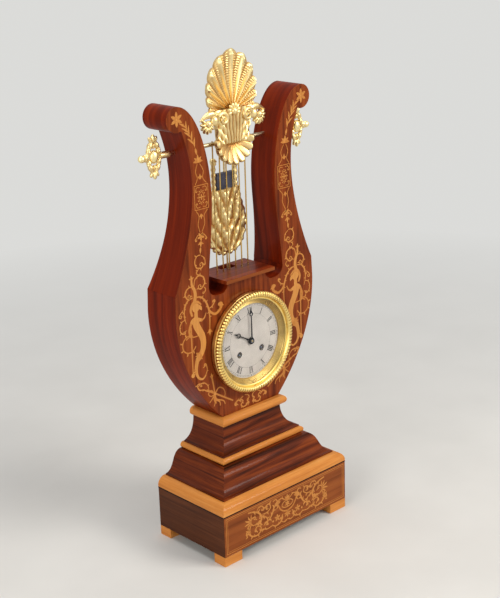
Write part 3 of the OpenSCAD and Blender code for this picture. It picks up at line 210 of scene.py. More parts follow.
class Surface:
    """Gathers point grids and flat faces, in millimetres, and makes one mesh object of them."""

    def __init__(self) -> None:
        """Start with no points."""
        self._points: list[Array] = []
        self._uv: list[Array] = []
        self._tone: list[Array] = []
        self._faces: list[Array] = []
        self._count = 0

    def add(self, points: Array, faces: Array, uv: Array | None = None, tone: Array | float = 0.5) -> None:
        """Add points and the faces between them.

        Args:
            points: Points, one row each.
            faces: Point numbers, one face a row.
            uv: Place of each point on the grain, along and across; None takes z and x.
            tone: Depth of colour at each point, from 0, deep, to 1, raised; on gilt it is painted shade in
                hollows and painted highlight on raised spots, on inlay it is sand-shading.
        """
        flat = points.reshape(-1, 3)
        self._points.append(flat)
        self._uv.append(flat[:, [2, 0]] if uv is None else uv.reshape(-1, 2))
        self._tone.append(np.broadcast_to(np.asarray(tone, float).ravel(), (len(flat),)))
        self._faces.append(faces + self._count)
        self._count += len(flat)

    def grid(self, p: Array, uv: Array | None = None, tone: Array | float = 0.5, round_rows: bool = False,
             round_cols: bool = False) -> None:
        """Add a grid of points with a face in each cell.

        Args:
            p: Points as rows, columns, 3.
            uv: Place of each point on the grain.
            tone: Depth of colour at each point.
            round_rows: Join the last row to the first.
            round_cols: Join the last column to the first.
        """
        rows, cols = p.shape[:2]
        i = np.arange(rows if round_rows else rows - 1)[:, None]
        j = np.arange(cols if round_cols else cols - 1)[None, :]
        i2, j2 = (i + 1) % rows, (j + 1) % cols
        quads = np.stack([i * cols + j, i * cols + j2, i2 * cols + j2, i2 * cols + j], axis=-1)
        self.add(p, quads.reshape(-1, 4), uv, tone)

    def fill(self, loops: Sequence[Array], place: Callable[[Array], Array]) -> None:
        """Add a flat face inside the first loop and outside the others.

        Args:
            loops: Closed outlines in two dimensions, without their first point repeated.
            place: Turns those points into places.
        """
        triangles = np.array(tessellate_polygon([[Vector((x, z, 0.0)) for x, z in loop] for loop in loops]))
        flat = np.concatenate(loops)
        self.add(place(flat), triangles, flat[:, ::-1])

    def cushion(self, front: Array, back: Array, tone: Array) -> None:
        """Add a closed skin: a front grid, a back grid and the strips between their edges.

        Args:
            front: Points of the front.
            back: As many points of the back.
            tone: Depth of colour of the front.
        """
        self.grid(front, tone=tone)
        # On gilt the back's lower tone is painted shade.
        self.grid(back, tone=0.4)
        for edge in (np.s_[0], np.s_[-1], np.s_[:, 0], np.s_[:, -1]):
            self.grid(np.stack([front[edge], back[edge]]))

    def tube(self, path: Array, radius: Array | float, sides: int = 12, flat: float = 1.0,
             across: Sequence[float] = (0.0, 1.0, 0.0)) -> None:
        """Add a bar along a path, closed at both ends: a ring of points square to each step of the path.

        Args:
            path: Points of its middle line.
            radius: Radius, or one for each point.
            sides: Number of sides.
            flat: Share of the radius along the second direction.
            across: The second direction, which no part of the path follows.
        """
        tone = 0.7
        ahead = directions(path)
        side = np.cross(ahead, np.asarray(across))
        side /= np.linalg.norm(side, axis=1, keepdims=True)
        up = np.cross(side, ahead)
        a = np.linspace(0.0, 2 * np.pi, sides, endpoint=False)[None, :, None]
        r = np.broadcast_to(radius, (len(path),))[:, None, None]
        rings = path[:, None, :] + r * (np.cos(a) * side[:, None, :] + flat * np.sin(a) * up[:, None, :])
        self.grid(rings, tone=tone, round_cols=True)
        for row in (0, -1):
            self.add(rings[row], np.arange(sides)[None, :], tone=tone)

    def ball(self, centre: Sequence[float], radii: Sequence[float], turn: float = 0.0,
             tone: float = 0.8) -> None:
        """Add an ellipsoid: radii times the sines and cosines of latitude and longitude.

        Args:
            centre: Its middle.
            radii: Its three radii.
            turn: Turn in the X-Z plane, in degrees.
            tone: Depth of colour.
        """
        rows, cols = 10, 16
        lat = np.radians(np.linspace(-90, 90, rows + 1))[:, None]
        lon = np.radians(np.linspace(0, 360, cols, endpoint=False))[None, :]
        x, y = radii[0] * np.cos(lat) * np.cos(lon), radii[1] * np.cos(lat) * np.sin(lon)
        z = radii[2] * np.sin(lat)
        c, k = heading(turn)
        points = places(x * c - z * k, y, x * k + z * c) + np.asarray(centre)
        self.grid(points, tone=tone, round_cols=True)

    def turned(self, profile: Array, steps: int, ripple: Array | float, tone: Array) -> None:
        """Add a ring about the dial's axis: a closed profile turned through a whole circle.

        Args:
            profile: Points of radius and distance ahead of the face.
            steps: Number of steps round the circle.
            ripple: What is added to the radius at each point and step.
            tone: Depth of colour at each point, or at each point and step.
        """
        a = np.linspace(0.0, 2 * np.pi, steps, endpoint=False)
        r = profile[:, :1] + np.broadcast_to(ripple, (len(profile), steps))
        points = places(r * np.cos(a), -profile[:, 1:], DIAL_Z + r * np.sin(a))
        self.grid(points, tone=np.broadcast_to(tone, r.shape), round_rows=True, round_cols=True)

    def mitred(self, profile: Array, run: Run, square: bool = False, centre: Point = (0.0, 0.0)) -> None:
        """Add a moulding: a profile carried round the front and sides, and flat down the back.

        Args:
            profile: Points of inset and height, from the bottom up.
            run: Half width, and the distance of front and back from the centre.
            square: Inset the back as well.
            centre: Middle of the run in x and y.
        """
        half_w, front, back = run
        inset, z = profile[:, :1], profile[:, 1:]
        rear = back - inset if square else np.full_like(inset, back)
        x, y = half_w - inset, inset - front
        corners = places(np.hstack([-x, -x, x, x]) + centre[0], np.hstack([rear, y, y, rear]) + centre[1], z)
        across = np.repeat(run_lengths(profile)[:, None], 2, 1)
        for k in range(4):
            pair = corners[:, [k, (k + 1) % 4]]
            along = pair[..., (k + 1) % 2] + k * GRAIN_SHIFT
            self.grid(pair, np.stack([along, across], axis=-1))
        for row in (0, -1):
            self.add(corners[row], np.array([[0, 1, 2, 3]]), corners[row][:, :2])

    def mesh(self, name: str, crease: float) -> bpy.types.Mesh:
        """Weld what was gathered, with its faces outward and smooth between sharp edges.

        Args:
            name: Name of the mesh.
            crease: Angle in degrees above which an edge stays sharp.

        Returns:
            The mesh, which carries the grain as its UV map and the tone as an attribute.
        """
        mesh = bpy.data.meshes.new(name)
        points, uv, tone = (np.concatenate(rows) for rows in (self._points, self._uv, self._tone))
        loops = np.concatenate([f.ravel() for f in self._faces]).astype(np.int32)
        sizes = np.concatenate([np.full(len(f), f.shape[1]) for f in self._faces])
        mesh.vertices.add(len(points))
        mesh.vertices.foreach_set("co", (points * MM).astype(np.float32).ravel())
        mesh.loops.add(len(loops))
        mesh.loops.foreach_set("vertex_index", loops)
        mesh.polygons.add(len(sizes))
        mesh.polygons.foreach_set("loop_start", np.concatenate([[0], np.cumsum(sizes)[:-1]]).astype(np.int32))
        mesh.update(calc_edges=True)
        mesh.uv_layers.new(name="UVMap").data.foreach_set("uv", (uv[loops] * MM).astype(np.float32).ravel())
        mesh.attributes.new("tone", "FLOAT", "POINT").data.foreach_set("value", tone.astype(np.float32))
        work = bmesh.new()
        work.from_mesh(mesh)
        bmesh.ops.remove_doubles(work, verts=work.verts, dist=WELD)
        bmesh.ops.dissolve_degenerate(work, edges=work.edges, dist=WELD)
        bmesh.ops.recalc_face_normals(work, faces=work.faces)
        work.to_mesh(mesh)
        work.free()
        mesh.polygons.foreach_set("use_smooth", np.ones(len(mesh.polygons), bool))
        mesh.set_sharp_from_angle(angle=math.radians(crease))
        return mesh

    def build(self, name: str, finish: Material, body: str, slot: str, replaces: Sequence[str] = (),
              crease: float = 35.0, bevel: float = 0.0) -> None:
        """Make the piece, link it and say what it rides on.

        Args:
            name: Name of the piece.
            finish: Its material.
            body: The body that it moves with.
            slot: The record's finish that it belongs to; not used.
            replaces: Nodes that it stands for.
            crease: Angle in degrees above which an edge stays sharp.
            bevel: Width of the rounding of sharp edges.
        """
        mesh = self.mesh(name, crease)
        mesh.materials.append(finish)
        piece = bpy.data.objects.new(name, mesh)
        bpy.context.scene.collection.objects.link(piece)
        if bevel:
            edge = piece.modifiers.new("edge", "BEVEL")
            edge.width, edge.segments, edge.limit_method = bevel * MM, 2, "ANGLE"
            edge.angle_limit = math.radians(crease)
            edge.harden_normals = True
        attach(piece, body)
        if replaces:
            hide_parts(*replaces)
        LOG.info("%s: %d faces on %s", name, len(mesh.polygons), body)


class Coords(Enum):
    """What a material's pattern follows: the piece's place, or the grain laid on it."""

    PLACE = "Object"
    GRAIN = "UV"


class Net:
    """The node tree of a material or of the world, with short ways to add the nodes used here."""

    def __init__(self, owner: Material | bpy.types.World) -> None:
        """Take the owner's tree.

        Args:
            owner: The material or world.
        """
        owner.use_nodes = True
        self.owner = owner
        self.tree = owner.node_tree
        self.shader = self.tree.nodes.get("Principled BSDF")

    @classmethod
    def material(cls, name: str) -> "Net":
        """The tree of a new material of that name."""
        return cls(bpy.data.materials.new(name))

    def add(self, kind: str, **settings: object) -> bpy.types.Node:
        """Add a node.

        Args:
            kind: The node's type.
            **settings: Its properties.

        Returns:
            The node.
        """
        node = self.tree.nodes.new(kind)
        for key, value in settings.items():
            setattr(node, key, value)
        return node

    def wire(self, source: Socket, node: bpy.types.Node, socket: str | int) -> None:
        """Link an output to a node's input."""
        self.tree.links.new(source, node.inputs[socket])

    def place(self, coords: Coords, scale: Sequence[float] = (1.0, 1.0, 1.0)) -> Socket:
        """Coordinates of a kind, scaled.

        Args:
            coords: Their kind.
            scale: Scale along each axis.

        Returns:
            The coordinates.
        """
        mapping = self.add("ShaderNodeMapping")
        mapping.inputs["Scale"].default_value = scale
        self.wire(self.add("ShaderNodeTexCoord").outputs[coords.value], mapping, "Vector")
        return mapping.outputs["Vector"]

    def noise(self, vector: Socket, scale: float, detail: float = 4.0, rough: float = 0.5,
              swirl: float = 0.0) -> Socket:
        """Noise from 0 to 1.

        Args:
            vector: Coordinates.
            scale: Waves in a metre.
            detail: Number of finer layers.
            rough: Strength of the finer layers.
            swirl: How far it is distorted.

        Returns:
            The value.
        """
        node = self.add("ShaderNodeTexNoise")
        values = {"Scale": scale, "Detail": detail, "Roughness": rough, "Distortion": swirl}
        for key, value in values.items():
            node.inputs[key].default_value = value
        self.wire(vector, node, "Vector")
        return node.outputs["Fac"]

    def ramp(self, source: Socket, stops: Sequence[tuple[float, Colour]]) -> Socket:
        """Colours by value.

        Args:
            source: The value.
            stops: Values and their screen colours.

        Returns:
            The colour.
        """
        node = self.add("ShaderNodeValToRGB")
        points = node.color_ramp.elements
        while len(points) < len(stops):
            points.new(0.5)
        for element, (position, colour) in zip(points, stops):
            element.position, element.color = position, linear(colour)
        self.wire(source, node, "Fac")
        return node.outputs["Color"]

    def span(self, source: Socket, low: float, high: float, start: float = 0.0, end: float = 1.0) -> Socket:
        """Carry values between start and end over to low and high.

        Args:
            source: The value.
            low: Result at the start.
            high: Result at the end.
            start: Value at the start.
            end: Value at the end.

        Returns:
            The result.
        """
        node = self.add("ShaderNodeMapRange")
        for key, value in (("From Min", start), ("From Max", end), ("To Min", low), ("To Max", high)):
            node.inputs[key].default_value = value
        self.wire(source, node, "Value")
        return node.outputs["Result"]

    def tint(self, share: Socket, base: Socket, colour: Colour) -> Socket:
        """Blend a plain colour into another.

        Args:
            share: Share of the plain colour.
            base: The other colour.
            colour: The plain screen colour.

        Returns:
            The blend.
        """
        node = self.add("ShaderNodeMix", data_type="RGBA")
        self.wire(share, node, 0)
        self.wire(base, node, 6)
        node.inputs[7].default_value = linear(colour)
        return node.outputs[2]

    def math(self, operation: str, a: Socket, b: Socket) -> Socket:
        """Work out one value from two.

        Args:
            operation: What is worked out.
            a: First value.
            b: Second value.

        Returns:
            The result.
        """
        node = self.add("ShaderNodeMath", operation=operation)
        self.wire(a, node, 0)
        self.wire(b, node, 1)
        return node.outputs[0]

    def bump(self, height: Socket, depth: float, strength: float) -> None:
        """Give the shader a bump.

        Args:
            height: Height from 0 to 1.
            depth: Full height in millimetres.
            strength: Share of the effect.
        """
        node = self.add("ShaderNodeBump")
        node.inputs["Distance"].default_value = depth * MM
        node.inputs["Strength"].default_value = strength
        self.wire(height, node, "Height")
        self.wire(node.outputs["Normal"], self.shader, "Normal")

    def tone(self) -> Socket:
        """The depth of colour that the mesh carries."""
        return self.add("ShaderNodeAttribute", attribute_name="tone").outputs["Fac"]

    def put(self, **values: float) -> None:
        """Set the shader's own sockets, with underscores for spaces."""
        for key, value in values.items():
            self.shader.inputs[key.replace("_", " ")].default_value = value

    def seen(self) -> Socket:
        """Tell rays that look at the surroundings, straight or by gloss or glass, from rays that light.

        Returns:
            1 for the first, 0 for the others.
        """
        path = self.add("ShaderNodeLightPath").outputs
        through = self.math("MAXIMUM", path["Is Camera Ray"], path["Is Transmission Ray"])
        return self.math("MAXIMUM", through, path["Is Glossy Ray"])

    def show(self, output: str, share: Socket, a: Socket, b: Socket) -> None:
        """Show a blend of two shaders.

        Args:
            output: Name of the tree's output node.
            share: Share of the second shader.
            a: First shader.
            b: Second shader.
        """
        blend = self.add("ShaderNodeMixShader")
        for k, source in enumerate((share, a, b)):
            self.wire(source, blend, k)
        self.wire(blend.outputs["Shader"], self.tree.nodes[output], "Surface")


@dataclass(frozen=True)
class WoodFinish:
    """A polished wood: streaks along the grain, fine pores, broad shading and a clear coat."""

    name: str
    dark: Colour
    mid: Colour
    light: Colour
    coords: Coords = Coords.GRAIN
    streaks: float = 90.0
    contrast: float = 0.16
    pores: float = 0.35
    roughness: float = 0.36
    coat: float = 0.14

    def material(self) -> Material:
        """Make the material.

        Returns:
            A material whose colour is streak noise stretched along the grain, darkened by pores.
        """
        net = Net.material(self.name)
        broad = net.noise(net.place(self.coords), 14.0, 3.0)
        streak = net.noise(net.place(self.coords, (GRAIN_STRETCH, 1.0, 1.0)), self.streaks, 7.0, 0.62, 0.6)
        fine = net.noise(net.place(self.coords, (0.35 * GRAIN_STRETCH, 1.0, 1.0)), 900.0, 3.0, 0.7)
        shade = net.math("ADD", streak, net.span(broad, -0.12, 0.12))
        c = self.contrast
        colour = net.ramp(shade, [(0.5 - c, self.dark), (0.5, self.mid), (0.5 + c, self.light)])
        colour = net.tint(net.span(fine, self.pores, 0.0, 0.34, 0.52), colour, self.dark)
        net.wire(colour, net.shader, "Base Color")
        net.wire(net.span(fine, self.roughness + 0.14, self.roughness, 0.3, 0.6), net.shader, "Roughness")
        net.bump(fine, 0.05, 0.25)
        net.put(Coat_Weight=self.coat, Coat_Roughness=0.08, Coat_IOR=1.4, Specular_IOR_Level=0.05)
        return net.owner


@dataclass(frozen=True)
class MetalFinish:
    """A metal: colour from hollow to high spot, painted shade in the hollows and painted highlight on the
    high spots where it follows the mesh's tone, a clouded polish and a fine surface.
    """

    name: str
    deep: Colour
    bright: Colour
    polish: tuple[float, float] = (0.18, 0.34)
    grit: float = 700.0
    relief: float = 0.06
    raised: bool = False

    def material(self) -> Material:
        """Make the material.

        Returns:
            A metal whose colour follows the mesh's tone as painted shade in hollows and painted highlight on
            raised spots, or noise where it has none.
        """
        net = Net.material(self.name)
        place = net.place(Coords.PLACE)
        cloud = net.noise(place, 60.0, 4.0, 0.6)
        grit = net.noise(place, self.grit, 3.0, 0.6)
        # With raised set, colour follows the mesh's tone: painted shade in hollows, painted highlight on
        # raised spots.
        share = net.tone() if self.raised else net.span(cloud, 0.25, 1.0, 0.3, 0.6)
        half = tuple(0.35 * d + 0.65 * b for d, b in zip(self.deep, self.bright))
        colour = net.ramp(share, [(0.05, self.deep), (0.45, half), (0.95, self.bright)])
        if self.raised:
            colour = net.tint(net.span(cloud, 0.0, 0.25, 0.4, 0.7), colour, self.deep)
        net.wire(colour, net.shader, "Base Color")
        net.wire(net.span(cloud, self.polish[1], self.polish[0], 0.35, 0.65), net.shader, "Roughness")
        net.bump(grit, self.relief, 0.5)
        net.put(Metallic=1.0)
        return net.owner


@dataclass(frozen=True)
class InlayFinish:
    """Pale inlay, sand-shaded from piece to piece by the mesh's tone."""

    name: str = "boxwood_inlay"
    deep: Colour = (0.60, 0.36, 0.14)
    mid: Colour = (0.78, 0.50, 0.23)
    light: Colour = (0.85, 0.59, 0.30)
    fleck: Colour = (0.62, 0.36, 0.15)

    def material(self) -> Material:
        """Make the material.

        Returns:
            A wood whose colour follows the mesh's tone, flecked by noise along an upright grain.
        """
        net = Net.material(self.name)
        grain = net.noise(net.place(Coords.PLACE, (1.0, 1.0, 0.1)), 400.0, 4.0, 0.6)
        shade = net.ramp(net.tone(), [(0.0, self.deep), (0.6, self.mid), (1.0, self.light)])
        net.wire(net.tint(net.span(grain, 0.0, 0.35, 0.4, 0.7), shade, self.fleck), net.shader, "Base Color")
        net.wire(net.span(grain, 0.34, 0.5), net.shader, "Roughness")
        net.put(Coat_Weight=0.12, Coat_Roughness=0.1, Specular_IOR_Level=0.1)
        return net.owner


@dataclass(frozen=True)
class PlateFinish:
    """Matt silvered plate with a grainy surface."""

    name: str = "silvered_plate"
    dull: Colour = (0.80, 0.77, 0.74)
    bright: Colour = (0.87, 0.84, 0.81)

    def material(self) -> Material:
        """Make the material.

        Returns:
            A half metal clouded by broad noise, with fine noise in its roughness and bump.
        """
        net = Net.material(self.name)
        place = net.place(Coords.PLACE)
        cloud = net.noise(place, 45.0, 4.0, 0.6)
        grit = net.noise(place, 1600.0, 2.0)
        net.wire(net.ramp(cloud, [(0.3, self.dull), (0.7, self.bright)]), net.shader, "Base Color")
        net.wire(net.span(grit, 0.42, 0.58), net.shader, "Roughness")
        net.bump(grit, 0.02, 0.4)
        net.put(Metallic=0.4)
        return net.owner


@dataclass(frozen=True)
class WaxFinish:
    """Black wax of the numerals, a little uneven."""

    name: str = "black_wax"
    deep: Colour = (0.05, 0.05, 0.06)
    worn: Colour = (0.13, 0.13, 0.14)

    def material(self) -> Material:
        """Make the material.

        Returns:
            A near black clouded by noise.
        """
        net = Net.material(self.name)
        cloud = net.noise(net.place(Coords.PLACE), 600.0, 3.0)
        net.wire(net.ramp(cloud, [(0.3, self.deep), (0.7, self.worn)]), net.shader, "Base Color")
        net.wire(net.span(cloud, 0.4, 0.6), net.shader, "Roughness")
        return net.owner


@dataclass(frozen=True)
class GlassFinish:
    """Clear pane that lets light through to the dial; its faint waviness is in the bump."""

    name: str = "clear_glass"
    bend: float = 1.2

    def material(self) -> Material:
        """Make the material.

        Returns:
            Glass that is no obstacle to rays of light.
        """
        net = Net.material(self.name)
        net.put(Roughness=0.0, IOR=self.bend, Transmission_Weight=1.0)
        net.bump(net.noise(net.place(Coords.PLACE), 18.0, 2.0), 0.02, 0.1)
        through = net.add("ShaderNodeBsdfTransparent").outputs["BSDF"]
        shadow = net.add("ShaderNodeLightPath").outputs["Is Shadow Ray"]
        net.show("Material Output", shadow, net.shader.outputs["BSDF"], through)
        return net.owner


@dataclass(frozen=True)
class Finishes:
    """Every material of the clock, made once; each has the name of its finish."""

    rosewood: Material
    case_wood: Material
    face_wood: Material
    plain_wood: Material
    satinwood: Material
    box_wood: Material
    panel_wood: Material
    dark_band_wood: Material
    pale_solid: Material
    boxwood_inlay: Material
    gilt: Material
    bezel_gilt: Material
    brass: Material
    bar_metal: Material
    steel: Material
    dark_steel: Material
    blued_steel: Material
    silvered_plate: Material
    black_wax: Material
    clear_glass: Material

    @classmethod
    def make(cls) -> "Finishes":
        """Make all materials.

        Returns:
            The set of them.
        """
        finishes = (
            WoodFinish("rosewood", (0.12, 0.04, 0.02), (0.41, 0.165, 0.06), (0.60, 0.28, 0.10),
                       contrast=0.19, coat=0.22),
            WoodFinish("case_wood", (0.29, 0.07, 0.012), (0.455, 0.125, 0.02), (0.57, 0.185, 0.035),
                       contrast=0.24, pores=0.3, coat=0.09),
            WoodFinish("face_wood", (0.30, 0.105, 0.04), (0.52, 0.23, 0.09), (0.61, 0.30, 0.125),
                       contrast=0.21, streaks=130.0),
            WoodFinish("plain_wood", (0.32, 0.10, 0.04), (0.45, 0.16, 0.06), (0.55, 0.22, 0.09),
                       Coords.PLACE),
            WoodFinish("satinwood", (0.72, 0.42, 0.16), (0.84, 0.54, 0.25), (0.93, 0.66, 0.36),
                       contrast=0.24, pores=0.2, coat=0.3),
            WoodFinish("box_wood", (0.20, 0.095, 0.045), (0.33, 0.17, 0.085), (0.42, 0.23, 0.12),
                       contrast=0.24),
            WoodFinish("panel_wood", (0.42, 0.20, 0.08), (0.57, 0.30, 0.135), (0.65, 0.37, 0.17),
                       contrast=0.26, pores=0.25),
            # Near black wood of the band round the top of the plinth's box, under the thumb moulding.
            WoodFinish("dark_band_wood", (0.04, 0.03, 0.025), (0.08, 0.05, 0.04), (0.13, 0.09, 0.07)),
            WoodFinish("pale_solid", (0.70, 0.41, 0.16), (0.83, 0.53, 0.245), (0.90, 0.62, 0.32),
                       Coords.PLACE),
            InlayFinish(),
            # Both gilts paint shade in hollows and highlights on raised spots from the mesh's tone.
            MetalFinish("gilt", (0.64, 0.39, 0.13), (1.0, 0.925, 0.69), (0.3, 0.46), 900.0, 0.08, True),
            MetalFinish("bezel_gilt", (0.58, 0.36, 0.10), (1.0, 0.89, 0.56), (0.26, 0.4), 500.0, 0.03, True),
            MetalFinish("brass", (0.66, 0.50, 0.24), (0.90, 0.76, 0.46)),
            MetalFinish("bar_metal", (0.62, 0.55, 0.42), (0.88, 0.83, 0.70)),
            MetalFinish("steel", (0.40, 0.41, 0.44), (0.66, 0.67, 0.70)),
            MetalFinish("dark_steel", (0.13, 0.13, 0.16), (0.38, 0.38, 0.44), (0.3, 0.5)),
            MetalFinish("blued_steel", (0.03, 0.03, 0.05), (0.09, 0.10, 0.15), (0.25, 0.4)),
            PlateFinish(),
            WaxFinish(),
            GlassFinish(),
        )
        return cls(**{finish.name: finish.material() for finish in finishes})


@dataclass(frozen=True)
class LyreOutline:
    """The lyre's edges in the plane of its face, as heights above the cap, right half.

    A name with pull in it is a handle of a curve: a point, or the one coordinate that isn't its end's.
    """

    foot: float = 50.5
    foot_pull: Point = (90.5, 39.0)
    belly_pull: float = 92.0
    belly: float = 120.8
    belly_z: float = 152.0
    shoulder: float = 119.3
    shoulder_z: float = 180.3
    shoulder_pull: Point = (102.8, 214.3)
    waist_pull_low: float = 270.0
    waist: Point = (84.2, 314.0)
    waist_pull_high: float = 340.0
    neck_pull: Point = (88.2, 358.0)
    scroll: Point = (104.5, 396.8)
    scroll_r: float = 15.5
    scroll_start: float = 245.0
    scroll_end: float = 450.0
    top_pull: Point = (72.0, 410.3)
    inside_pull_high: float = 345.0
    inside: Point = (54.3, 295.0)
    inside_pull_low: float = 255.0
    opening_pull: Point = (63.5, 213.3)
    opening: float = 65.0
    hollow_pull_arm: float = 167.8
    hollow_pull_low: float = 53.0
    hollow: Point = (46.0, 166.8)
    hollow_pull_rise: float = 38.0
    shelf_pull: Point = (33.0, 173.0)
    shelf: Point = (31.0, 180.0)
    taper_top: float = 270.3

    def body(self) -> Array:
        """From the foot by a cubic to the belly and straight up to the shoulder.

        Returns:
            Points of the edge.
        """
        belly = (self.belly, self.belly_z)
        return joined(bezier((self.foot, 0.0), self.foot_pull, (self.belly, self.belly_pull), belly),
                      np.array([belly, (self.shoulder, self.shoulder_z)]))

    def arm_outside(self) -> Array:
        """From the shoulder by two cubics up the outside of the arm, and round the scroll to its top.

        Returns:
            Points of the edge.
        """
        x, start = self.waist[0], (self.shoulder, self.shoulder_z)
        under = arc(self.scroll, self.scroll_r, self.scroll_start, self.scroll_end, 60)
        return joined(bezier(start, self.shoulder_pull, (x, self.waist_pull_low), self.waist, 60),
                      bezier(self.waist, (x, self.waist_pull_high), self.neck_pull, tuple(under[0])),
                      under)

    def arm_inside(self) -> Array:
        """From the scroll's top by two cubics down the inside of the arm to the shoulder.

        Returns:
            Points of the edge.
        """
        x = self.inside[0]
        top = (self.scroll[0], self.scroll[1] + self.scroll_r)
        end = (self.opening, self.shoulder_z)
        return joined(bezier(top, self.top_pull, (x, self.inside_pull_high), self.inside, 60),
                      bezier(self.inside, (x, self.inside_pull_low), self.opening_pull, end, 60))

    def notch(self) -> Array:
        """From the inside of the shoulder by two cubics down the hollow and up to the shelf.

        Returns:
            Points of the edge.
        """
        x, z = self.opening, self.hollow[1]
        start, near_arm = (x, self.shoulder_z), (x, self.hollow_pull_arm)
        return joined(bezier(start, near_arm, (self.hollow_pull_low, z), self.hollow, 24),
                      bezier(self.hollow, (self.hollow_pull_rise, z), self.shelf_pull, self.shelf, 24))

    @staticmethod
    def closed(half: Array) -> Array:
        """A whole outline from its right half."""
        return np.vstack([half, flipped(half)])


@dataclass
class LyreCase:
    """Body, arms and face of the lyre as smooth veneered shells, and the shelf's pale lip."""

    finishes: Finishes
    outline: LyreOutline = LyreOutline()
    face_t: float = 0.9
    body_d: float = 55.0
    arm_d: float = 44.0
    taper_lead: float = 6.0
    taper_pull: float = 30.0
    lip_z: Point = (349.9, 354.3)
    lip_run: Run = (42.4, 0.25, 0.05)
    lip_y: float = -8.0

    def back_of_arm(self, z: Array) -> Array:
        """Depth of an arm's back: a cubic S in height from the body's depth to the arm's.

        Args:
            z: Heights above the cap.

        Returns:
            Depth at each height.
        """
        low, high, pull = self.outline.shoulder_z, self.outline.taper_top, self.taper_pull
        curve = bezier((self.body_d, low), (self.body_d - self.taper_lead, low + pull),
                       (self.arm_d, high - pull), (self.arm_d, high))
        return np.interp(z, curve[:, 1], curve[:, 0])

    @staticmethod
    def wall(surface: Surface, loop: Array, front: Array | float, back: Array | float) -> None:
        """Add the side wall round a closed loop: each point carried from front to back depth.

        Args:
            surface: Where the wall goes.
            loop: Outline points.
            front: Front depth, or one for each point.
            back: Back depth, or one for each point.
        """
        ring = np.vstack([loop, loop[:1]])
        depths = np.column_stack([np.broadcast_to(depth, (len(loop),)) for depth in (front, back)])
        depths = np.vstack([depths, depths[:1]])
        along = np.repeat(run_lengths(ring)[:, None], 2, 1)
        surface.grid(places(ring[:, :1], depths, ring[:, 1:] + LYRE_Z), np.stack([along, depths], axis=-1))

    @staticmethod
    def at_depth(y: float | Callable[[Array], Array]) -> Callable[[Array], Array]:
        """A placer that puts outline points at one depth, or at a depth by height.

        Args:
            y: The depth, or the function that gives it.

        Returns:
            A function from outline points to places.
        """
        def place(flat: Array) -> Array:
            """Outline points as places."""
            return places(flat[:, 0], y(flat[:, 1]) if callable(y) else y, flat[:, 1] + LYRE_Z)
        return place

    def plate(self, half: Array, front: float, back: float) -> Surface:
        """A plate with the round bore for the movement: two walls and two flat faces.

        Args:
            half: Right half of its outline.
            front: Depth of its front.
            back: Depth of its back.

        Returns:
            The plate's skin.
        """
        loops = [self.outline.closed(half), arc((0.0, DIAL_Z - LYRE_Z), BORE_R, 0, 360, 120)[:-1]]
        surface = Surface()
        for loop in loops:
            self.wall(surface, loop, front, back)
        for depth in (front, back):
            surface.fill(loops, self.at_depth(depth))
        return surface

    def build(self) -> None:
        """Build body, arms, face and lip."""
        o, wood = self.outline, self.finishes.case_wood
        shoulder = np.array([[o.shoulder, o.shoulder_z], [o.opening, o.shoulder_z]])
        body = self.plate(joined(o.body(), shoulder, o.notch()), self.face_t, self.body_d)
        body.build("lyre_body_shell", wood, "case", "mahogany", ["lyre_body"], bevel=0.5)
        for side, name in zip(SIDES, ("left", "right")):
            arm = self.arm(side)
            arm.build(f"{name}_arm_shell", wood, "case", "mahogany", [f"{name}_arm"], bevel=0.5)
        face = self.plate(joined(o.body(), o.arm_outside(), o.arm_inside(), o.notch()), 0.0, self.face_t)
        face.build("face_veneer", self.finishes.face_wood, "case", "mahogany", ["front_veneer"], bevel=0.25)
        lip = Surface()
        lip.mitred(upright(*self.lip_z), self.lip_run, True, (0.0, self.lip_y))
        lip.build("shelf_lip", self.finishes.panel_wood, "case", "satinwood")

    def arm(self, side: float) -> Surface:
        """One arm: its back sweeps forward between the shoulder and the waist, and is flat above.

        Args:
            side: -1 for the left arm, 1 for the right.

        Returns:
            The arm's skin.
        """
        o, flip = self.outline, np.array([side, 1.0])
        outer, inner = o.arm_outside(), o.arm_inside()[::-1]
        loop = joined(outer, inner[::-1]) * flip
        surface = Surface()
        self.wall(surface, loop, self.face_t, self.back_of_arm(loop[:, 1]))
        surface.fill([loop], self.at_depth(self.face_t))
        low_out = outer[outer[:, 1] <= o.taper_top]
        low_in = np.column_stack([np.interp(low_out[:, 1], inner[:, 1], inner[:, 0]), low_out[:, 1]])
        across = np.linspace(0.0, 1.0, 6)[None, :, None]
        sweep = (low_out[:, None, :] * (1 - across) + low_in[:, None, :] * across) * flip
        x, z = sweep[..., 0], sweep[..., 1]
        surface.grid(places(x, self.back_of_arm(z), z + LYRE_Z), sweep[..., ::-1])
        upper_in = inner[inner[:, 1] > low_out[-1, 1]]
        upper_out = outer[len(low_out) - 1 :]
        rest = np.vstack([upper_out, upper_in[::-1][1:], low_in[-1:]]) * flip
        surface.fill([rest], self.at_depth(self.back_of_arm))
        return surface


